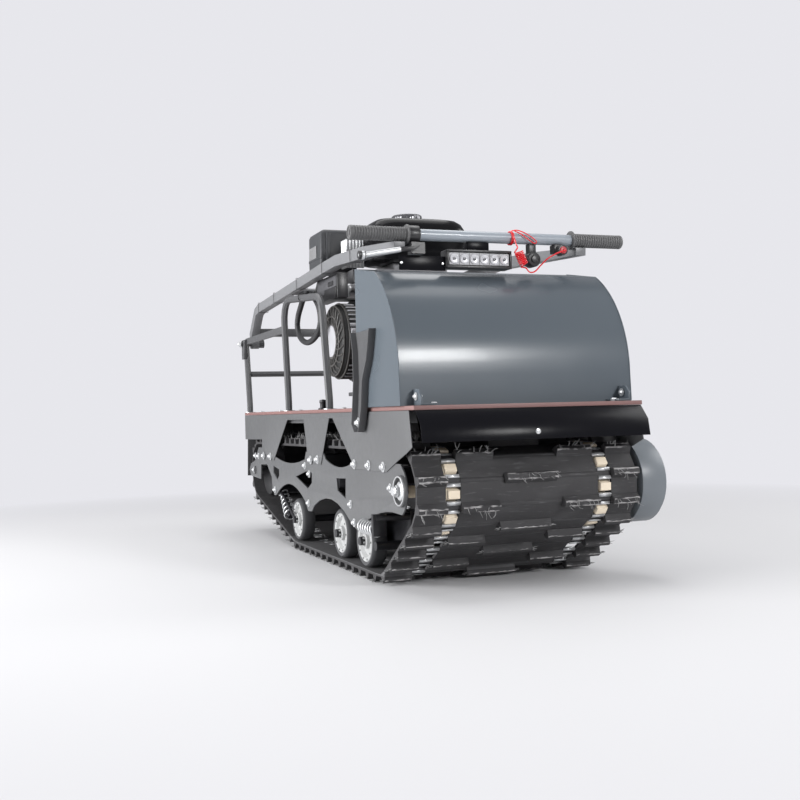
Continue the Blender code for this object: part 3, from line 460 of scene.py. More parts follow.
def on_belt(distance, height, y):
    """A point at a distance along the belt, a height outside its inner face and a place across."""
    left = distance % (PITCH * TRACK_LINKS)
    for piece in BELT:
        if left <= piece[-1]:
            break
        left -= piece[-1]
    if piece[0] == "arc":
        turn = piece[3] + left / piece[2]
        out = Vector((math.cos(turn), math.sin(turn)))
        spot = Vector(piece[1]) + out * (piece[2] + height)
    else:
        spot = piece[1] + piece[2] * (left / piece[-1]) + piece[3] * height
    return Vector((spot.x, y, spot.y))


rubber = Finish("track_rubber", (0.032, 0.031, 0.033), 0.72, specular=0.3)
dust = (rubber.grain(26.0, 6.0, (1.0, 0.35, 1.0)) - 0.52) * 5.0
scuffs = (rubber.grain(240.0, 4.0, (1.0, 0.12, 1.0)) - 0.6) * 9.0
x, y, z = rubber.place()
inside = (z > 0.0195) * (z < 0.03) * (x.size() < 0.62)
marks = (dust.held() * 0.16 + scuffs.held() * 0.22 + inside * 0.34).held()
rubber.set("Base Color", rubber.mix(marks, (0.044, 0.043, 0.045), (0.2, 0.2, 0.205)))
rubber.set("Roughness", dust.held() * 0.2 + 0.58)
rubber.texture(0.0006, 700.0, 4.0)
dress("track", rubber, 30.0)

worn_rubber = Finish("worn_lug_rubber", (0.22, 0.22, 0.22), 0.85)
marks = ((worn_rubber.grain(170.0, 5.0, (1.0, 0.25, 1.0)) - 0.42) * 6.0).held()
worn_rubber.set("Base Color", worn_rubber.mix(marks, (0.045, 0.044, 0.046), (0.4, 0.39, 0.39)))
hair_rubber = Finish("hair_rubber", (0.26, 0.26, 0.26), 0.8)
hair_rubber.tint((0.12, 0.12, 0.12), (0.42, 0.42, 0.42), 60.0)

# A ridge's or a clip's line gives shifts along the belt and heights over its inner face.
RIDGE_HALF = 0.1555
RIDGE_LINE = ((-0.0045, 0.0058), (-0.002, 0.0074), (0.002, 0.0074), (0.0045, 0.0058))
LUG_END = BELT_THICK + LUG_HEIGHT
EDGE_INSET = 0.0006
CHIP_STEP = 0.006
HAIR_STEP = 0.0075
HAIR_REACH = (0.007, 0.02)
HAIR_LIMIT = 0.272
DOWNWARD = -0.8

chance = random.Random(4)
caps = bmesh.new()
ridges = bmesh.new()
hairs = bmesh.new()
for link in range(TRACK_LINKS):
    root_line = on_belt(link * PITCH, 0.0, 0.0)
    out = (on_belt(link * PITCH, 0.1, 0.0) - root_line).normalized()
    along = Vector((out.z, 0.0, -out.x))
    wear = -0.0001 if out.z < DOWNWARD else 0.0001
    skin(ridges, [[ridges.verts.new(on_belt(link * PITCH + shift, height, y))
                   for y in (-RIDGE_HALF, RIDGE_HALF)] for shift, height in RIDGE_LINE])
    for low, high in LUG_ROWS[link % 2]:
        steps = max(2, round((high - low) / CHIP_STEP))
        for side in (-1.0, 1.0):
            edges = []
            for step in range(steps + 1):
                y = low + EDGE_INSET + (high - low - 2 * EDGE_INSET) * step / steps
                depth = chance.uniform(0.0008, 0.003)
                strip = ((LUG_TOP / 2 + 0.0002 + depth * LUG_SLOPE, -depth), (LUG_TOP / 2, wear),
                         (LUG_TOP / 2 - chance.uniform(0.0008, 0.0024), wear))
                edges.append([caps.verts.new(on_belt(link * PITCH + side * shift, LUG_END + rise, y))
                              for shift, rise in strip])
            skin(caps, edges)
        for _ in range(max(4, round((high - low) / HAIR_STEP))):
            y = chance.uniform(low + 0.002, high - 0.002)
            edge = chance.choice((-1.0, 1.0)) * (LUG_TOP / 2 - 0.001)
            root = on_belt(link * PITCH + edge, LUG_END - 0.0005, y)
            lean = out + along * chance.uniform(-0.9, 0.9)
            lean += Vector((0.0, chance.uniform(-0.7, 0.7), 0.0))
            lean.z -= 0.9 if out.x > 0.3 and out.z < 0.4 else 0.0
            reach = chance.uniform(*HAIR_REACH)
            if out.z < DOWNWARD:
                lean = along * chance.uniform(-1.0, 1.0) + Vector((0.0, math.copysign(1.0, y), 0.0))
                root.z += 0.004
                root.y = high if y > 0 else low
                reach *= 0.7
            bend = Vector([chance.uniform(-0.25, 0.25) for axis in range(3)])
            tip = root + (lean.normalized() + bend).normalized() * reach
            middle = root + lean.normalized() * reach * 0.55
            if min(tip.z, middle.z) < 0.001 or abs(tip.y) > HAIR_LIMIT:
                continue
            sweep(hairs, (root, middle, tip), [0.0008, 0.0007, 0.0004], 3)
make_piece("lug_wear", caps, worn_rubber)
make_piece("belt_ridges", ridges, rubber, turn=60.0)
make_piece("moulding_hairs", hairs, hair_rubber, turn=80.0)

zinc = Finish("zinc_plated_steel", (0.64, 0.65, 0.66), 0.3, metallic=0.6)
zinc.rough(0.22, 0.22, 120.0)
zinc.texture(0.00008, 900.0, 2.0)
CLIP_Y = 0.172
CLIP_HALF = 0.0148
CLIP_LINE = ((0.0126, 0.001), (0.012, 0.007), (0.0106, 0.008), (0.0052, 0.008), (0.0048, 0.007))
clips = bmesh.new()
for link in range(TRACK_LINKS):
    for middle in (-CLIP_Y, CLIP_Y):
        for side in (-1.0, 1.0):
            skin(clips, [[clips.verts.new(on_belt(link * PITCH + side * shift, height, middle + edge))
                          for edge in (-CLIP_HALF, CLIP_HALF)] for shift, height in CLIP_LINE])
bmesh.ops.remove_doubles(clips, verts=clips.verts, dist=TOUCHING)
clip_piece = make_piece("window_clips", clips, zinc, turn=60.0)
thick = clip_piece.modifiers.new("sheet", "SOLIDIFY")
thick.thickness = 0.0008
thick.offset = -1.0

# Drive and idler axles
# Cream plastic drive wheels on a steel shaft at the front, black idler wheels at the rear.
cream = plastic("cream_plastic", (0.84, 0.73, 0.57), 0.45)
dress("drive_axle", cream, bevel=0.0006)
wheel_rubber = plastic("wheel_rubber", (0.03, 0.03, 0.032), 0.6)
dress("idler_axle", wheel_rubber, bevel=0.001)


# Ground rollers
# Steel discs with a pressed recess and a ring of rivets, in a thick rubber tyre, two to an axle.
def turned(shape, centre, axis, profile, sides=32, capped=True, sign=1.0):
    """A turned shape; the profile gives radius and place along an axis letter, times a sign."""
    centre = Vector(centre)
    run = {"X": Vector((1, 0, 0)), "Y": Vector((0, 1, 0)), "Z": Vector((0, 0, 1))}[axis]
    across = run.orthogonal().normalized()
    other = run.cross(across)
    rings = []
    for radius, along in profile:
        if radius < 1e-6:
            rings.append([shape.verts.new(centre + run * (sign * along))])
        else:
            rings.append(ring(shape, centre + run * (sign * along), across, other, radius, sides))
    for first, second in zip(rings, rings[1:]):
        for side in range(sides):
            after = (side + 1) % sides
            if len(first) == 1:
                shape.faces.new((first[0], second[after], second[side]))
            elif len(second) == 1:
                shape.faces.new((first[side], first[after], second[0]))
            else:
                shape.faces.new((first[side], first[after], second[after], second[side]))
    for end in (rings[0], rings[-1]):
        if capped and len(end) > 2:
            shape.faces.new(end)


def circle(centre, radius, count, plane="XZ", first=0.0):
    """Even points on a circle in the plane of two axes, from a share of a step on."""
    points = []
    for step in range(count):
        turn = 2 * math.pi * (step + first) / count
        spot = list(centre)
        spot["XYZ".index(plane[0])] += radius * math.cos(turn)
        spot["XYZ".index(plane[1])] += radius * math.sin(turn)
        points.append(tuple(spot))
    return points


def turned_piece(name, finish, centres, axis, profile, sides, body="chassis", turn=35.0,
                 sign=1.0, stands_for=None):
    """A named piece of one turned shape at each of its centres."""
    shape = bmesh.new()
    for centre in centres:
        turned(shape, centre, axis, profile, sides, sign=sign)
    make_piece(name, shape, finish, body, turn, stands_for=stands_for)


# Each pair gives its place along the machine, its place across and the radius of its tyres.
ROLLER_Z = 0.081
ROLLER_PAIRS = ((-0.18, 0.226, 0.0578), (0.212, 0.226, 0.0595),
                (0.392, 0.226, 0.0595), (0.5, 0.15, 0.0578))
DISC_RADIUS = 0.0485
RIVET_CIRCLE = 0.0425
AXLE_RADIUS = 0.01
AXLE_HALF = 0.2555
DISC_LINE = ((AXLE_RADIUS, 0.0185), (0.017, 0.0175), (0.018, 0.0105), (0.033, 0.0085),
             (0.0385, 0.0165), (0.0465, 0.0172), (DISC_RADIUS, 0.015), (DISC_RADIUS, -0.015),
             (AXLE_RADIUS, -0.015))

roller_paint = Finish("roller_paint", (0.3, 0.305, 0.305), 0.4)
roller_paint.tint((0.35, 0.355, 0.355), (0.44, 0.445, 0.445), 70.0, 4.0)
roller_paint.texture(0.0002, 400.0, 3.0)
tyre_rubber = plastic("tyre_rubber", (0.06, 0.061, 0.065), 0.62, 500.0)
black_steel = plastic("black_steel", (0.014, 0.014, 0.017), 0.4)
for number, (x, out, radius) in enumerate(ROLLER_PAIRS, start=1):
    tyres = bmesh.new()
    discs = bmesh.new()
    axles = bmesh.new()
    turned(axles, (x, 0.0, ROLLER_Z), "Y", ((AXLE_RADIUS, -AXLE_HALF), (AXLE_RADIUS, AXLE_HALF)), 16)
    for sign in (-1.0, 1.0):
        turned(tyres, (x, sign * out, ROLLER_Z), "Y",
               ((DISC_RADIUS, -0.0165), (radius - 0.005, -0.018), (radius - 0.0015, -0.0145),
                (radius, -0.008), (radius, 0.008), (radius - 0.0015, 0.0145),
                (radius - 0.005, 0.018), (DISC_RADIUS, 0.0165)), 40, False)
        turned(discs, (x, sign * out, ROLLER_Z), "Y", DISC_LINE, 40, sign=sign)
        for spot in circle((x, sign * (out + 0.0166), ROLLER_Z), RIVET_CIRCLE, 10):
            turned(axles, spot, "Y", ((0.0022, 0.0), (0.0022, 0.001), (0.0, 0.0016)), 8, sign=sign)
        turned(discs, (x, sign * (out + 0.0185), ROLLER_Z), "Y",
               ((0.011, 0.0), (0.011, 0.005), (0.007, 0.007), (0.0, 0.007)), 6, sign=sign)
    make_piece(f"roller_tyres_{number}", tyres, tyre_rubber, turn=50.0,
               stands_for=f"roller_pair_{number}")
    make_piece(f"roller_discs_{number}", discs, roller_paint)
    make_piece(f"roller_axle_{number}", axles, black_steel)

# Suspension
# Black steel beams and slim trailing arms, with bare steel coil springs over their guides: a
# tapered spring on each rear arm, an even one at each end of the front beams.

# Each spring gives its two ends, the radius at each of them and its number of turns.
SPRINGS = (((-0.352, 0.237, 0.146), (-0.281, 0.237, 0.081), 0.013, 0.0185, 6),
           ((0.446, 0.264, 0.1205), (0.541, 0.264, 0.1205), 0.0165, 0.0165, 6))
ARM_FOOT = (-0.36, 0.153)
ARM_END = (-0.18, 0.081)
ARM_Y = 0.2495
GUIDE_Y = 0.237
COIL_WIRE = 0.0025
COIL_SIDES = 16

dress("suspension_front", black_steel, bevel=0.0008)
arms = bmesh.new()
turned(arms, (ARM_FOOT[0], 0.0, ARM_FOOT[1]), "Y", ((0.012, -0.253), (0.012, 0.253)), 20)
for sign in (-1.0, 1.0):
    arm_line = (ARM_FOOT, (-0.29, 0.132), (-0.215, 0.096), ARM_END)
    sweep(arms, [(x, sign * ARM_Y, z) for x, z in arm_line], 0.0042, 10)
    for x, z, radius in ((*ARM_FOOT, 0.015), (*ARM_END, 0.0075)):
        turned(arms, (x, sign * ARM_Y, z), "Y", ((radius, -0.004), (radius, 0.004)), 20)
    sweep(arms, [(x, sign * GUIDE_Y, z) for x, z in (ARM_FOOT, (-0.278, 0.079))], 0.008, 12)
make_piece("rear_arms", arms, black_steel, stands_for="suspension_rear")
coils = bmesh.new()
for start, end, radius, last_radius, turns in SPRINGS:
    for sign in (-1.0, 1.0):
        first = Vector((start[0], sign * start[1], start[2]))
        last = Vector((end[0], sign * end[1], end[2]))
        run = (last - first).normalized()
        side = Vector((0.0, 1.0, 0.0))
        other = run.cross(side)
        points = []
        for step in range(COIL_SIDES * turns + 1):
            share = step / (COIL_SIDES * turns)
            turn = 2 * math.pi * step / COIL_SIDES
            reach = radius + (last_radius - radius) * share - COIL_WIRE - 0.0001
            around = (side * math.cos(turn) + other * math.sin(turn)) * reach
            points.append(first + (last - first) * share + around)
        sweep(coils, points, COIL_WIRE, 8)
make_piece("suspension_springs", coils, zinc, turn=60.0)

# Lower side plates and upper skirts
# Laser-cut steel plates, powder-coated grey, bolted together along their overlap with zinc-plated
# bolts. The drive axle turns in a flanged bearing with a ring at the front of the right plate.
plate_paint = Finish("grey_powder_coat", (0.1, 0.102, 0.106), 0.42)
tone = plate_paint.grain(5.0, 4.0)
plate_paint.set("Base Color", plate_paint.mix(tone, (0.089, 0.09, 0.093), (0.112, 0.115, 0.119)))
plate_paint.rough(0.16, 0.34, 60.0)
plate_paint.texture(0.0001, 1300.0, 2.0)
PLATE_BOLTS = ((-0.482, 0.248), (-0.398, 0.249), (0.033, 0.252), (0.095, 0.255), (0.39, 0.254),
               (0.489, 0.255), (0.582, 0.255))
LOW_BOLTS = ((-0.359, 0.153), (-0.625, 0.2), (-0.003, 0.139), (0.373, 0.121), (0.616, 0.213),
             (-0.032, 0.235), (0.009, 0.215), (-0.56, 0.245), (-0.6, 0.245), (0.349, 0.161))
OVERLAP_Y = 0.2624
PLATE_Y = 0.2601
SIDES = (("right", -1.0), ("left", 1.0))


def bolt(shape, place, axis, sign, size=0.0075):
    """A washer and a domed hexagon nut, standing out along an axis."""
    washer = ((1.5 * size, 0.0), (1.5 * size, 0.0014), (0.7 * size, 0.0015))
    nut = ((size, 0.0012), (size, 0.62 * size), (0.8 * size, 0.75 * size))
    dome = ((0.72 * size, 0.6 * size), (0.68 * size, 0.95 * size), (0.45 * size, 1.2 * size),
            (0.0, 1.3 * size))
    for profile, sides in ((washer, 20), (nut, 6), (dome, 12)):
        turned(shape, place, axis, profile, sides, sign=sign)


bolts = bmesh.new()
for side, sign in SIDES:
    dress(f"side_plate_{side}", plate_paint, bevel=0.0006)
    dress(f"skirt_{side}", plate_paint, bevel=0.0005)
    for x, z in PLATE_BOLTS:
        bolt(bolts, (x, sign * OVERLAP_Y, z), "Y", sign)
    for x, z in LOW_BOLTS:
        bolt(bolts, (x, sign * PLATE_Y, z), "Y", sign, 0.0065)
make_piece("plate_bolts", bolts, zinc)

BEARING_X = 0.684
BEARING_Z = 0.211
rings = bmesh.new()
hubs = bmesh.new()
turned(rings, (BEARING_X, -0.2602, BEARING_Z), "Y",
       ((0.032, 0.0), (0.032, 0.007), (0.0305, 0.0085), (0.0265, 0.0085), (0.0255, 0.001),
        (0.01, 0.001)), 40, False, -1.0)
turned(hubs, (BEARING_X, -0.2604, BEARING_Z), "Y",
       ((0.0185, 0.0), (0.0185, 0.006), (0.015, 0.008), (0.012, 0.0085), (0.012, 0.013),
        (0.0, 0.013)), 32, sign=-1.0)
turned(hubs, (BEARING_X, -0.273, BEARING_Z), "Y",
       ((0.0105, 0.0), (0.0105, 0.007), (0.0085, 0.009), (0.0, 0.009)), 6, sign=-1.0)
sweep(hubs, circle((BEARING_X, -0.269, BEARING_Z), 0.0288, 40), 0.0012, 8, closed=True)
make_piece("bearing_ring", rings, plate_paint, turn=40.0)
make_piece("axle_bearing", hubs, zinc, turn=40.0)

# Front apron and rear flap
# Gloss black folded sheet under the deck's front edge, and a hanging rubber flap at the rear.
gloss_black = Finish("gloss_black", (0.007, 0.007, 0.009), 0.24, specular=0.08)
gloss_black.rough(0.1, 0.2, 30.0)
gloss_black.texture(0.00012, 60.0, 2.0)
dress("front_apron", gloss_black, bevel=0.0008)
flap_rubber = plastic("flap_rubber", (0.028, 0.028, 0.03), 0.65, 400.0)
dress("snow_flap", flap_rubber, bevel=0.0008)
turned_piece("apron_bolt", zinc, [(0.7822, -0.005, 0.323)], "X",
             ((0.0058, 0.0), (0.0055, 0.001), (0.003, 0.002), (0.0, 0.0024)), 16)


# Deck and its frame
# Two boards of brown-faced birch plywood on a frame of square tube, held by coach bolts, with a
# hitch plate, two black cross members between the side plates and washers under the guards' feet.
def slab(shape, low, high):
    """A box between two corners."""
    made = bmesh.ops.create_cube(shape, size=1.0)["verts"]
    middle = (Vector(low) + Vector(high)) / 2
    size = Vector(high) - Vector(low)
    for vert in made:
        vert.co = Vector((middle[i] + vert.co[i] * abs(size[i]) for i in range(3)))


def box_piece(name, boxes, finish, body="chassis", bevel=0.0):
    """A named piece of boxes, each given by two corners."""
    shape = bmesh.new()
    for low, high in boxes:
        slab(shape, low, high)
    make_piece(name, shape, finish, body, bevel=bevel)


DECK_TOP = 0.38
BOARD_THICK = 0.009
FILM_THICK = 0.0004

film = Finish("faced_plywood", (0.2, 0.11, 0.1), 0.5)
x, y, z = film.place()
face = (z > DECK_TOP - FILM_THICK) + (z < DECK_TOP - BOARD_THICK + FILM_THICK)
plies = (z * 4200.0).wave() * 0.5 + 0.5
plies = plies * 0.55 + film.grain(90.0, 4.0, (0.3, 0.3, 6.0)) * 0.45
edge = film.mix(plies, (0.13, 0.062, 0.058), (0.31, 0.175, 0.165))
web = film.grain(420.0, 2.0)
top = film.mix(web, (0.04, 0.022, 0.018), (0.075, 0.043, 0.036))
film.set("Base Color", film.mix(face.held(), edge, top))
film.rough(0.2, 0.38, 40.0)
film.bump(web, 0.0003)
for name in ("deck", "deck_rear"):
    dress(name, film, bevel=0.0006)
frame_paint = Finish("frame_paint", (0.078, 0.079, 0.083), 0.42)
frame_paint.rough(0.18, 0.33, 50.0)
frame_paint.texture(0.0001, 1200.0, 2.0)
dress("deck_frame", frame_paint, bevel=0.0012)
dress("tow_hitch", frame_paint, bevel=0.001)
box_piece("hitch_plate_and_cross_member", (((-0.7405, -0.105, 0.30125), (-0.7375, 0.105, 0.34575)),
                                           ((0.022, -0.2555, 0.233), (0.106, 0.2555, 0.267)),
                                           ((0.19, -0.2555, 0.194), (0.25, 0.2555, 0.234))),
          black_steel, bevel=0.0015)

heads = bmesh.new()
for x in (-0.66, -0.42, -0.2, 0.2, 0.66):
    for y in (-0.222, 0.222):
        turned(heads, (x, y, DECK_TOP), "Z",
               ((0.0085, 0.0), (0.008, 0.0015), (0.0045, 0.0032), (0.0, 0.0036)), 20)
for x in (-0.73, -0.238, 0.153):
    for y in (-0.245, 0.245):
        turned(heads, (x, y, DECK_TOP), "Z",
               ((0.017, 0.0), (0.017, 0.0016), (0.0102, 0.0016), (0.01, 0.0002)), 28)
make_piece("deck_fixings", heads, zinc)

turned_piece("deck_stud", black_sleeve, [(-0.054, -0.2, DECK_TOP)], "Z",
             ((0.013, 0.0), (0.013, 0.004), (0.008, 0.006), (0.008, 0.016), (0.01, 0.02),
              (0.009, 0.026), (0.0, 0.028)), 20)

# Hood
# Rolled sheet steel in gloss grey-blue paint with welded side panels. It stands on the deck in two
# bolted hinge brackets at its front.
hood_paint = Finish("hood_paint", (0.1, 0.119, 0.138), 0.22, coat=0.1, specular=0.38)
hood_paint.tint((0.089, 0.106, 0.124), (0.103, 0.122, 0.14), 3.0, 2.0)
hood_paint.rough(0.1, 0.2, 9.0, 2.0)
hood_paint.texture(0.00006, 260.0, 2.0)
dress("hood", hood_paint, 30.0)
for side, sign in SIDES:
    dress(f"hood_hinge_{side}", hood_paint, bevel=0.0006)

ARC_X = 0.44
ARC_Z = 0.44
WELD_RADIUS = 0.2572
WELD_Y = 0.2655
seams = bmesh.new()
for sign in (-1.0, 1.0):
    rim = [(0.7002, sign * WELD_Y, 0.382)]
    for step in range(25):
        turn = math.radians(60.0 * step / 24)
        rim.append((ARC_X + WELD_RADIUS * math.cos(turn), sign * WELD_Y,
                    ARC_Z + WELD_RADIUS * math.sin(turn)))
    rim.append((0.439, sign * WELD_Y, 0.6852))
    sweep(seams, rim, 0.0011, 6)
make_piece("hood_welds", seams, hood_paint, turn=60.0)

hinge_bolts = bmesh.new()
for sign in (-1.0, 1.0):
    bolt(hinge_bolts, (0.716, sign * 0.234 - 0.0022 * sign, 0.398), "Y", -sign, 0.0055)
    bolt(hinge_bolts, (0.716, sign * 0.2382, 0.398), "Y", sign, 0.0055)
    turned(hinge_bolts, (0.728, sign * 0.205, 0.3805), "Z",
           ((0.007, 0.0), (0.007, 0.004), (0.005, 0.006), (0.0, 0.006)), 6)
make_piece("hinge_bolts", hinge_bolts, zinc)

# Side guards, posts and pivots
# Bent steel tube in dark grey powder coat, with a flat rail, folded posts and clamp knobs on the
# handlebar's pivot pins.
for side, sign in SIDES:
    dress(f"side_guard_{side}", frame_paint, 40.0)
    dress(f"side_post_{side}", frame_paint, bevel=0.0008)
dress("cross_rail_rear", frame_paint)
guard_bolts = bmesh.new()
for sign in (-1.0, 1.0):
    bolt(guard_bolts, (-0.768, sign * 0.2635, 0.605), "Y", sign, 0.0075)
    bolt(guard_bolts, (0.448, sign * 0.2692, 0.347), "Y", sign, 0.008)
make_piece("guard_bolts", guard_bolts, zinc)
clip = bmesh.new()
sweep(clip, circle((-0.072, -0.245, 0.6815), 0.0115, 20, "YZ"), 0.0012, 6, closed=True)
sweep(clip, circle((-0.072, LOOM_Y, 0.688), 0.01, 20, "YZ"), 0.001, 6, closed=True)
make_piece("loom_clip", clip, black_sleeve, turn=60.0)

# Engine
# Air-cooled single: cast crankcase and finned head, black sheet fan housing, a slotted recoil
# starter with a blank centre disc, a gloss black tank, an air box, a silencer and a control box.
cast = Finish("cast_aluminium", (0.2, 0.2, 0.21), 0.5, metallic=0.7)
cast.rough(0.25, 0.38, 70.0)
cast.texture(0.0004, 420.0, 4.0)
dress("engine_block", cast, bevel=0.0012)
dress("engine_base", frame_paint, bevel=0.001)
ENGINE_X = 0.02
CRANK_Z = 0.502
casing = bmesh.new()
turned(casing, (ENGINE_X, 0.14, CRANK_Z), "Y",
       ((0.078, 0.0), (0.078, 0.005), (0.074, 0.008), (0.066, 0.0085), (0.06, 0.006),
        (0.04, 0.006), (0.036, 0.012), (0.02, 0.015), (0.0, 0.015)), 48)
for spot in circle((ENGINE_X, 0.148, CRANK_Z), 0.07, 8, first=0.5):
    turned(casing, spot, "Y", ((0.0052, 0.0), (0.0052, 0.004), (0.0035, 0.0048), (0.0, 0.0048)), 6)
for place, sign in (((0.13, 0.09, 0.46), 1.0), ((-0.09, 0.06, 0.46), -1.0)):
    turned(casing, place, "X", ((0.013, 0.0), (0.013, 0.006), (0.0105, 0.012), (0.0, 0.012)), 10,
           sign=sign)
make_piece("crankcase_cover", casing, cast, bevel=0.0004)
plug = bmesh.new()
sweep(plug, smooth_line(((0.094, 0.03, 0.7), (0.108, 0.03, 0.701), (0.122, 0.028, 0.694),
                         (0.128, 0.02, 0.67), (0.129, 0.0, 0.63), (0.128, -0.04, 0.615),
                         (0.122, -0.078, 0.62)), 5), 0.0036, 10)
turned(plug, (0.095, 0.03, 0.7), "X", ((0.009, 0.0), (0.009, 0.018), (0.007, 0.024), (0.0, 0.024)), 16)
engine_black = plastic("engine_black", (0.024, 0.024, 0.026), 0.36)
make_piece("spark_plug_lead", plug, engine_black, turn=60.0)
for name in ("fan_housing", "control_box"):
    dress(name, engine_black, bevel=0.0015)
dress("muffler", cast, bevel=0.001)
label_white = plastic("blank_label", (0.4, 0.4, 0.42), 0.35)

START_X = 0.034
START_Z = 0.556
FAN_Z = 0.558
starter_dark = plastic("starter_dark", (0.012, 0.012, 0.012), 0.45)
starter_grey = plastic("starter_grey", (0.062, 0.059, 0.056), 0.38)
turned_piece("starter_cover", starter_dark, [(START_X, 0.0, START_Z)], "Y",
             ((0.0965, -0.1409), (0.097, -0.16), (0.096, -0.179), (0.093, -0.188), (0.087, -0.1945),
              (0.08, -0.197), (0.046, -0.1985), (0.0, -0.1985)), 56, turn=50.0,
             stands_for="recoil_starter")
VANE_LINE = ((0.043, -0.199, 0.0), (0.062, -0.1995, 0.1), (0.079, -0.1985, 0.24),
             (0.088, -0.1945, 0.34))
ribs = bmesh.new()
for step in range(24):
    turn = 2 * math.pi * step / 24
    sweep(ribs, [(START_X + radius * math.cos(turn + lag), y, START_Z + radius * math.sin(turn + lag))
                 for radius, y, lag in VANE_LINE], 0.0024, 6)
for x, y, z in circle((START_X, -0.182, START_Z), 0.0965, 24):
    sweep(ribs, ((x, y, z), (x, -0.148, z)), 0.002, 6)
for radius, y in ((0.044, -0.199), (0.064, -0.199), (0.09, -0.1925), (0.0965, -0.18)):
    sweep(ribs, circle((START_X, y, START_Z), radius, 56), 0.0026, 8, closed=True)
make_piece("starter_grille", ribs, starter_grey, turn=60.0)
turned_piece("starter_disc", label_white, [(START_X, 0.0, START_Z)], "Y",
             ((0.041, -0.1985), (0.041, -0.201), (0.038, -0.2024), (0.0, -0.203)), 40, turn=25.0)

vents = bmesh.new()
for degrees in (30, 39, 48, 57, 66, -42, -51, -60, -69):
    turn = math.radians(degrees)
    rim = (START_X + 0.0985 * math.cos(turn), -0.176, START_Z + 0.0985 * math.sin(turn))
    sweep(vents, (rim, (rim[0], -0.15, rim[2])), 0.0022, 6)
for low, high in ((0.553, 0.562), (0.565, 0.583), (0.586, 0.596)):
    half = (high - low) / 2
    middle = (high + low) / 2 - START_Z
    x = START_X + math.sqrt(0.0978 ** 2 - middle ** 2)
    sweep(vents, ((x, -0.177, START_Z + middle), (x, -0.15, START_Z + middle)), half, 10)
make_piece("starter_vents", vents, label_white, turn=60.0)
slots = bmesh.new()
for x, y, z in circle((ENGINE_X, -0.136, FAN_Z), 0.1055, 40):
    sweep(slots, ((x, y, z), (x, y + 0.05, z)), 0.0022, 6)
make_piece("fan_housing_ribs", slots, engine_black, turn=60.0)


def loft(shape, centre, rows, corner, sides=40):
    """A closed form of rounded rectangles; rows give height, half length and half width."""
    rings = []
    for z, half_x, half_y in rows:
        level = []
        for side in range(sides):
            turn = 2 * math.pi * side / sides
            c, s = math.cos(turn), math.sin(turn)
            level.append(shape.verts.new((centre[0] + half_x * math.copysign(abs(c) ** corner, c),
                                          centre[1] + half_y * math.copysign(abs(s) ** corner, s), z)))
        rings.append(level)
    skin(shape, rings, closed=True)
    shape.faces.new(rings[0][::-1])
    shape.faces.new(rings[-1])


tank_black = Finish("tank_black", (0.009, 0.009, 0.01), 0.26, specular=0.14)
tank_black.rough(0.1, 0.12, 18.0)
tank = bmesh.new()
loft(tank, (0.045, 0.027), ((0.7555, 0.07, 0.115), (0.76, 0.085, 0.13), (0.78, 0.093, 0.136),
                             (0.802, 0.0945, 0.137), (0.806, 0.099, 0.141), (0.811, 0.099, 0.141),
                             (0.815, 0.0935, 0.1365), (0.842, 0.09, 0.132), (0.858, 0.083, 0.123),
                             (0.867, 0.073, 0.11), (0.8705, 0.06, 0.092), (0.8712, 0.045, 0.07)), 0.45)
make_piece("petrol_tank", tank, tank_black, turn=50.0, stands_for="fuel_tank")
CAP_X = 0.05
CAP_Y = 0.012
CAP_LOBES = 22
cap = bmesh.new()
turned(cap, (CAP_X, CAP_Y, 0.0), "Z", ((0.03, 0.87), (0.0395, 0.8715), (0.04, 0.873), (0.04, 0.884),
                                       (0.037, 0.8861), (0.0, 0.8863)), 3 * CAP_LOBES)
for vert in cap.verts:
    arm = Vector((vert.co.x - CAP_X, vert.co.y - CAP_Y))
    if arm.length > 0.039:
        turn = math.atan2(arm.y, arm.x)
        arm *= 1.0 - 0.05 * (0.5 + 0.5 * math.cos(turn * CAP_LOBES))
        vert.co.x, vert.co.y = CAP_X + arm.x, CAP_Y + arm.y
cap_metal = Finish("cap_metal", (0.16, 0.16, 0.17), 0.24, metallic=0.7)
cap_metal.rough(0.15, 0.18, 60.0)
make_piece("tank_cap_ribbed", cap, cap_metal, turn=50.0, stands_for="tank_cap")

air = bmesh.new()
loft(air, (-0.118, -0.1435), ((0.7525, 0.054, 0.0475), (0.755, 0.0588, 0.0523), (0.785, 0.059, 0.0525),
                              (0.7858, 0.06, 0.0535), (0.7915, 0.06, 0.0535), (0.7925, 0.0588, 0.0523),
                              (0.852, 0.058, 0.0515), (0.859, 0.056, 0.048), (0.864, 0.05, 0.04),
                              (0.8655, 0.04, 0.03)), 0.16, 48)
air_plastic = plastic("air_box_plastic", (0.048, 0.05, 0.054), 0.46)
air_plastic.set("Specular IOR Level", 0.28)
make_piece("air_box_shell", air, air_plastic, turn=40.0, stands_for="air_box")

label_grey = plastic("blank_grey_label", (0.19, 0.19, 0.195), 0.4)
box_piece("air_box_label", (((-0.158, -0.1976, 0.7905), (-0.092, -0.196, 0.8235)),), label_grey,
          bevel=0.0003)
box_piece("air_box_rib", (((-0.059, -0.179, 0.756), (-0.0545, -0.166, 0.853)),
                          ((-0.059, -0.15, 0.756), (-0.0555, -0.095, 0.784))), air_plastic,
          bevel=0.0012)
shield = bmesh.new()
waves = [0.002 * math.cos(step * math.pi / 3) for step in range(31)]
walls = [(0.018 + 0.035 * step / 18, -0.16 - waves[step]) for step in range(19)]
walls += [(0.055 + waves[step], -0.158 + 0.045 * step / 30) for step in range(31)]
uprights = [[shield.verts.new((x, y, z)) for z in (0.745, 0.815, 0.819)] for x, y in walls]
skin(shield, list(zip(*uprights)))
made = make_piece("silencer_shield", shield, zinc, turn=60.0)
sheet = made.modifiers.new("sheet", "SOLIDIFY")
sheet.thickness = 0.001
outlet = bmesh.new()
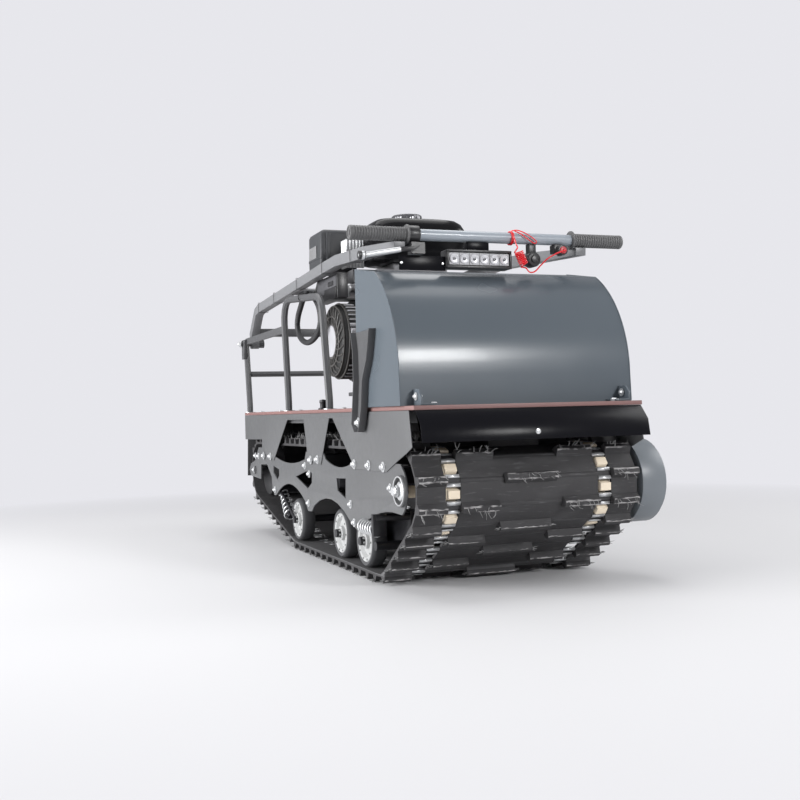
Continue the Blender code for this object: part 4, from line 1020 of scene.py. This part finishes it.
sweep(outlet, smooth_line(((0.038, -0.148, 0.695), (0.04, -0.157, 0.693), (0.048, -0.164, 0.685),
                           (0.06, -0.168, 0.675)), 5), 0.0112, 20)
make_piece("silencer_outlet", outlet, zinc, turn=50.0)
lid_grey = plastic("lid_grey", (0.085, 0.085, 0.092), 0.4)
box_piece("control_box_lid", (((-0.085, -0.1992, 0.683), (0.084, -0.1978, 0.7205)),), lid_grey,
          bevel=0.0006)
box_piece("control_box_relays", (((-0.012, -0.202, 0.664), (0.084, -0.1985, 0.693)),
                                 ((0.02, -0.201, 0.698), (0.062, -0.1985, 0.71))), engine_black,
          bevel=0.001)

wires = bmesh.new()
for shift, height in ((0.0, 0.0), (0.006, 0.005), (-0.005, 0.01), (0.003, 0.014)):
    wire_line = ((-0.082, -0.182 - shift / 2, 0.729), (-0.083, -0.19, 0.734), (-0.082, -0.196, 0.73),
                 (-0.088 - height / 2, -0.2005, 0.705), (-0.09 - height, -0.204, 0.692 + shift),
                 (-0.086, -0.212, 0.69))
    sweep(wires, smooth_line(wire_line, 5), 0.0016, 8)
make_piece("engine_wires", wires, black_sleeve, turn=60.0)

# Drive cover
# Turned steel drum over the drive at the left end of the front axle, held by a ring of screws.
cover_paint = Finish("cover_paint", (0.16, 0.178, 0.196), 0.4)
cover_paint.rough(0.16, 0.32, 50.0)
dress("end_cover", cover_paint, 30.0, bevel=0.0012)
drive_x, drive_z = WHEELS[0][:2]
turned_piece("cover_screws", zinc, circle((drive_x, 0.3238, drive_z), 0.076, 6, first=0.5), "Y",
             ((0.0045, 0.0), (0.0045, 0.0006), (0.003, 0.0011), (0.0, 0.0012)), 12)

# Handlebar
# Two rectangular tubes in light grey powder coat, a round crossbar, ribbed rubber grips, a brake
# lever and a throttle clamp on the right, a lamp bar, a stop switch and a starter switch.
arm_paint_and_shade = Finish("arm_powder_coat_and_painted_shade", (0.15, 0.153, 0.16), 0.38)
x, y, z = arm_paint_and_shade.place()
# Behind x = -0.7 m and within 0.2035 m of the middle, the rear cross tube between the arms is painted
# darker: painted shade for the shadow it lies in.
painted_shade_cross_tube = (x < -0.7) * (y.size() < 0.2035)
arm_paint_and_shade.set("Base Color", arm_paint_and_shade.mix(painted_shade_cross_tube, (0.174, 0.177, 0.185), (0.078, 0.079, 0.083)))
arm_paint_and_shade.rough(0.16, 0.29, 55.0)
arm_paint_and_shade.texture(0.0001, 1300.0, 2.0)
dress("handlebar_frame", arm_paint_and_shade, bevel=0.0022)
bar_paint = Finish("crossbar_paint", (0.31, 0.345, 0.385), 0.3, coat=0.2)
bar_paint.rough(0.14, 0.24, 40.0)
dress("crossbar", bar_paint)
dress("brake_lever", engine_black, 40.0)
dress("lamp_stay", gloss_black, bevel=0.001)
for name in ("throttle_clamp", "kill_switch", "lamp_bar"):
    dress(name, engine_black, bevel=0.001)

blade = bmesh.new()
sweep(blade, ((0.6141, -0.2247, 0.704), (0.616, -0.2647, 0.697), (0.614, -0.306, 0.6901)), 0.006, 12)
ball = [math.radians(-90 + 18 * step) for step in range(11)]
turned(blade, (0.614, -0.3067, 0.69), "Y",
       [(0.0095 * math.cos(turn), 0.0095 * math.sin(turn)) for turn in ball], 16)
make_piece("lever_blade", blade, zinc, "handlebar", turn=50.0)

BAR_X = 0.58
BAR_Z = 0.742
grip_rubber = plastic("grip_rubber", (0.104, 0.104, 0.106), 0.5, 700.0)
for side, sign in SIDES:
    profile = [(0.0129, 0.195), (0.0208, 0.1951), (0.021, 0.1975), (0.02, 0.1988), (0.0155, 0.1992)]
    for rib in range(19):
        base = 0.202 + 0.006 * rib
        profile += [(0.014, base), (0.0153, base + 0.001), (0.0155, base + 0.0025),
                    (0.0153, base + 0.004), (0.014, base + 0.005)]
    profile += [(0.0155, 0.317), (0.0155, 0.3225), (0.0142, 0.3245), (0.0105, 0.3248),
                (0.01, 0.3235), (0.006, 0.3235), (0.0055, 0.325), (0.0, 0.325)]
    turned_piece(f"grip_ribbed_{side}", grip_rubber, [(BAR_X, 0.0, BAR_Z)], "Y", profile, 32,
                 "handlebar", 50.0, sign, f"grip_{side}")

LAMP_FACE = 0.5952
LAMP_Y = -0.036
LAMP_Z = 0.6915
CELL_STEP = 0.0235
reflector = Finish("lamp_reflector", (0.66, 0.66, 0.69), 0.28, metallic=0.35)
reflector.rough(0.2, 0.2, 300.0)
reflector_back = plastic("reflector_back", (0.34, 0.34, 0.36), 0.35)
diode = plastic("lamp_diode", (0.1, 0.1, 0.11), 0.3)
cells = [(LAMP_FACE, LAMP_Y + CELL_STEP * (step - 2.5), LAMP_Z) for step in range(6)]
box_piece("reflector_back", [((LAMP_FACE - 0.0004, y - 0.0112, 0.679),
                              (LAMP_FACE + 0.0004, y + 0.0112, 0.7042)) for x, y, z in cells],
          reflector_back, "handlebar")
turned_piece("lamp_cells", reflector, cells, "X",
             ((0.0104, 0.0004), (0.0104, 0.0022), (0.0098, 0.0026), (0.006, 0.0012), (0.0, 0.0012)),
             28, "handlebar", 30.0)
turned_piece("lamp_diodes", diode, cells, "X", ((0.0036, 0.001), (0.0034, 0.0026), (0.0, 0.0034)),
             16, "handlebar", 60.0)
rim_bars = ((-0.112, 0.04, 0.706, 0.7112), (-0.112, 0.04, 0.6718, 0.677),
            (-0.112, -0.1075, 0.677, 0.706), (0.0355, 0.04, 0.677, 0.706))
box_piece("lamp_rim", [((0.5935, y0, z0), (0.5985, y1, z1)) for y0, y1, z0, z1 in rim_bars],
          engine_black, "handlebar", bevel=0.0008)
box_piece("blank_plate", (((0.585, -0.217, 0.666), (0.5866, -0.1122, 0.6965)),), gloss_black,
          "handlebar", bevel=0.0005)
turned_piece("plate_rivets", zinc, [(0.5866, -0.212, 0.6812), (0.5866, -0.118, 0.6812)], "X",
             ((0.003, 0.0), (0.0026, 0.001), (0.0, 0.0015)), 12, "handlebar")
red_cap = plastic("red_cap", (0.42, 0.03, 0.04), 0.35)
turned_piece("stop_cap", red_cap, [(0.6119, 0.159, 0.7145)], "X",
             ((0.0078, 0.0), (0.0078, 0.003), (0.0066, 0.0042), (0.003, 0.0046),
              (0.0026, 0.008), (0.0, 0.008)), 24, "handlebar")
switch = bmesh.new()
turned(switch, (0.57, 0.096, 0.695), "X",
       ((0.015, 0.0), (0.0165, 0.003), (0.0165, 0.024), (0.0145, 0.028), (0.009, 0.0285),
        (0.0085, 0.032), (0.0, 0.0325)), 28)
slab(switch, (0.572, 0.088, 0.706), (0.59, 0.104, 0.73))
make_piece("start_switch", switch, engine_black, "handlebar", bevel=0.0005)
knot = bmesh.new()
for y in (0.045, 0.0485):
    sweep(knot, circle((BAR_X, y, BAR_Z), 0.0142, 24), CORD_RADIUS, 8, closed=True)
sweep(knot, smooth_line(((BAR_X, 0.0485, 0.7575), (0.59, 0.058, 0.7585), (0.5965, 0.074, 0.752),
                         (0.5975, 0.09, 0.743), (0.597, 0.102, 0.734), (0.5975, 0.096, 0.73),
                         (0.597, 0.082, 0.738), (0.596, 0.066, 0.749), (0.588, 0.054, 0.757)), 6),
      0.0013, 8)
make_piece("lanyard_knot", knot, red_cord, "handlebar", turn=60.0)

ARM_LINE = ((-0.7735, 0.632), (-0.698, 0.703), (-0.655, 0.711), (-0.312, 0.726), (0.067, 0.741),
            (0.175, 0.744), (0.366, 0.734), (0.54, 0.72))
cables = bmesh.new()
for drop in (0.004, -0.002):
    points = [(x, -0.2018, z - drop) for x, z in ARM_LINE]
    points += [(0.556, -0.196, 0.724 - drop), (0.566, -0.186, 0.727 - drop)]
    sweep(cables, smooth_line(points, 5), 0.0021, 8)
make_piece("arm_cables", cables, black_sleeve, "handlebar", turn=60.0)
TIE_RING = ((-0.2313, -0.015), (-0.2313, 0.015), (-0.2002, 0.015), (-0.1977, 0.0), (-0.2002, -0.015))
ties = bmesh.new()
for x, z in ((0.3, 0.7375), (0.067, 0.741), (-0.18, 0.7312), (-0.44, 0.7204), (-0.64, 0.7117)):
    sweep(ties, [(x, y, z + rise) for y, rise in TIE_RING], 0.0009, 6, closed=True)
make_piece("cable_ties", ties, black_sleeve, "handlebar", turn=30.0)
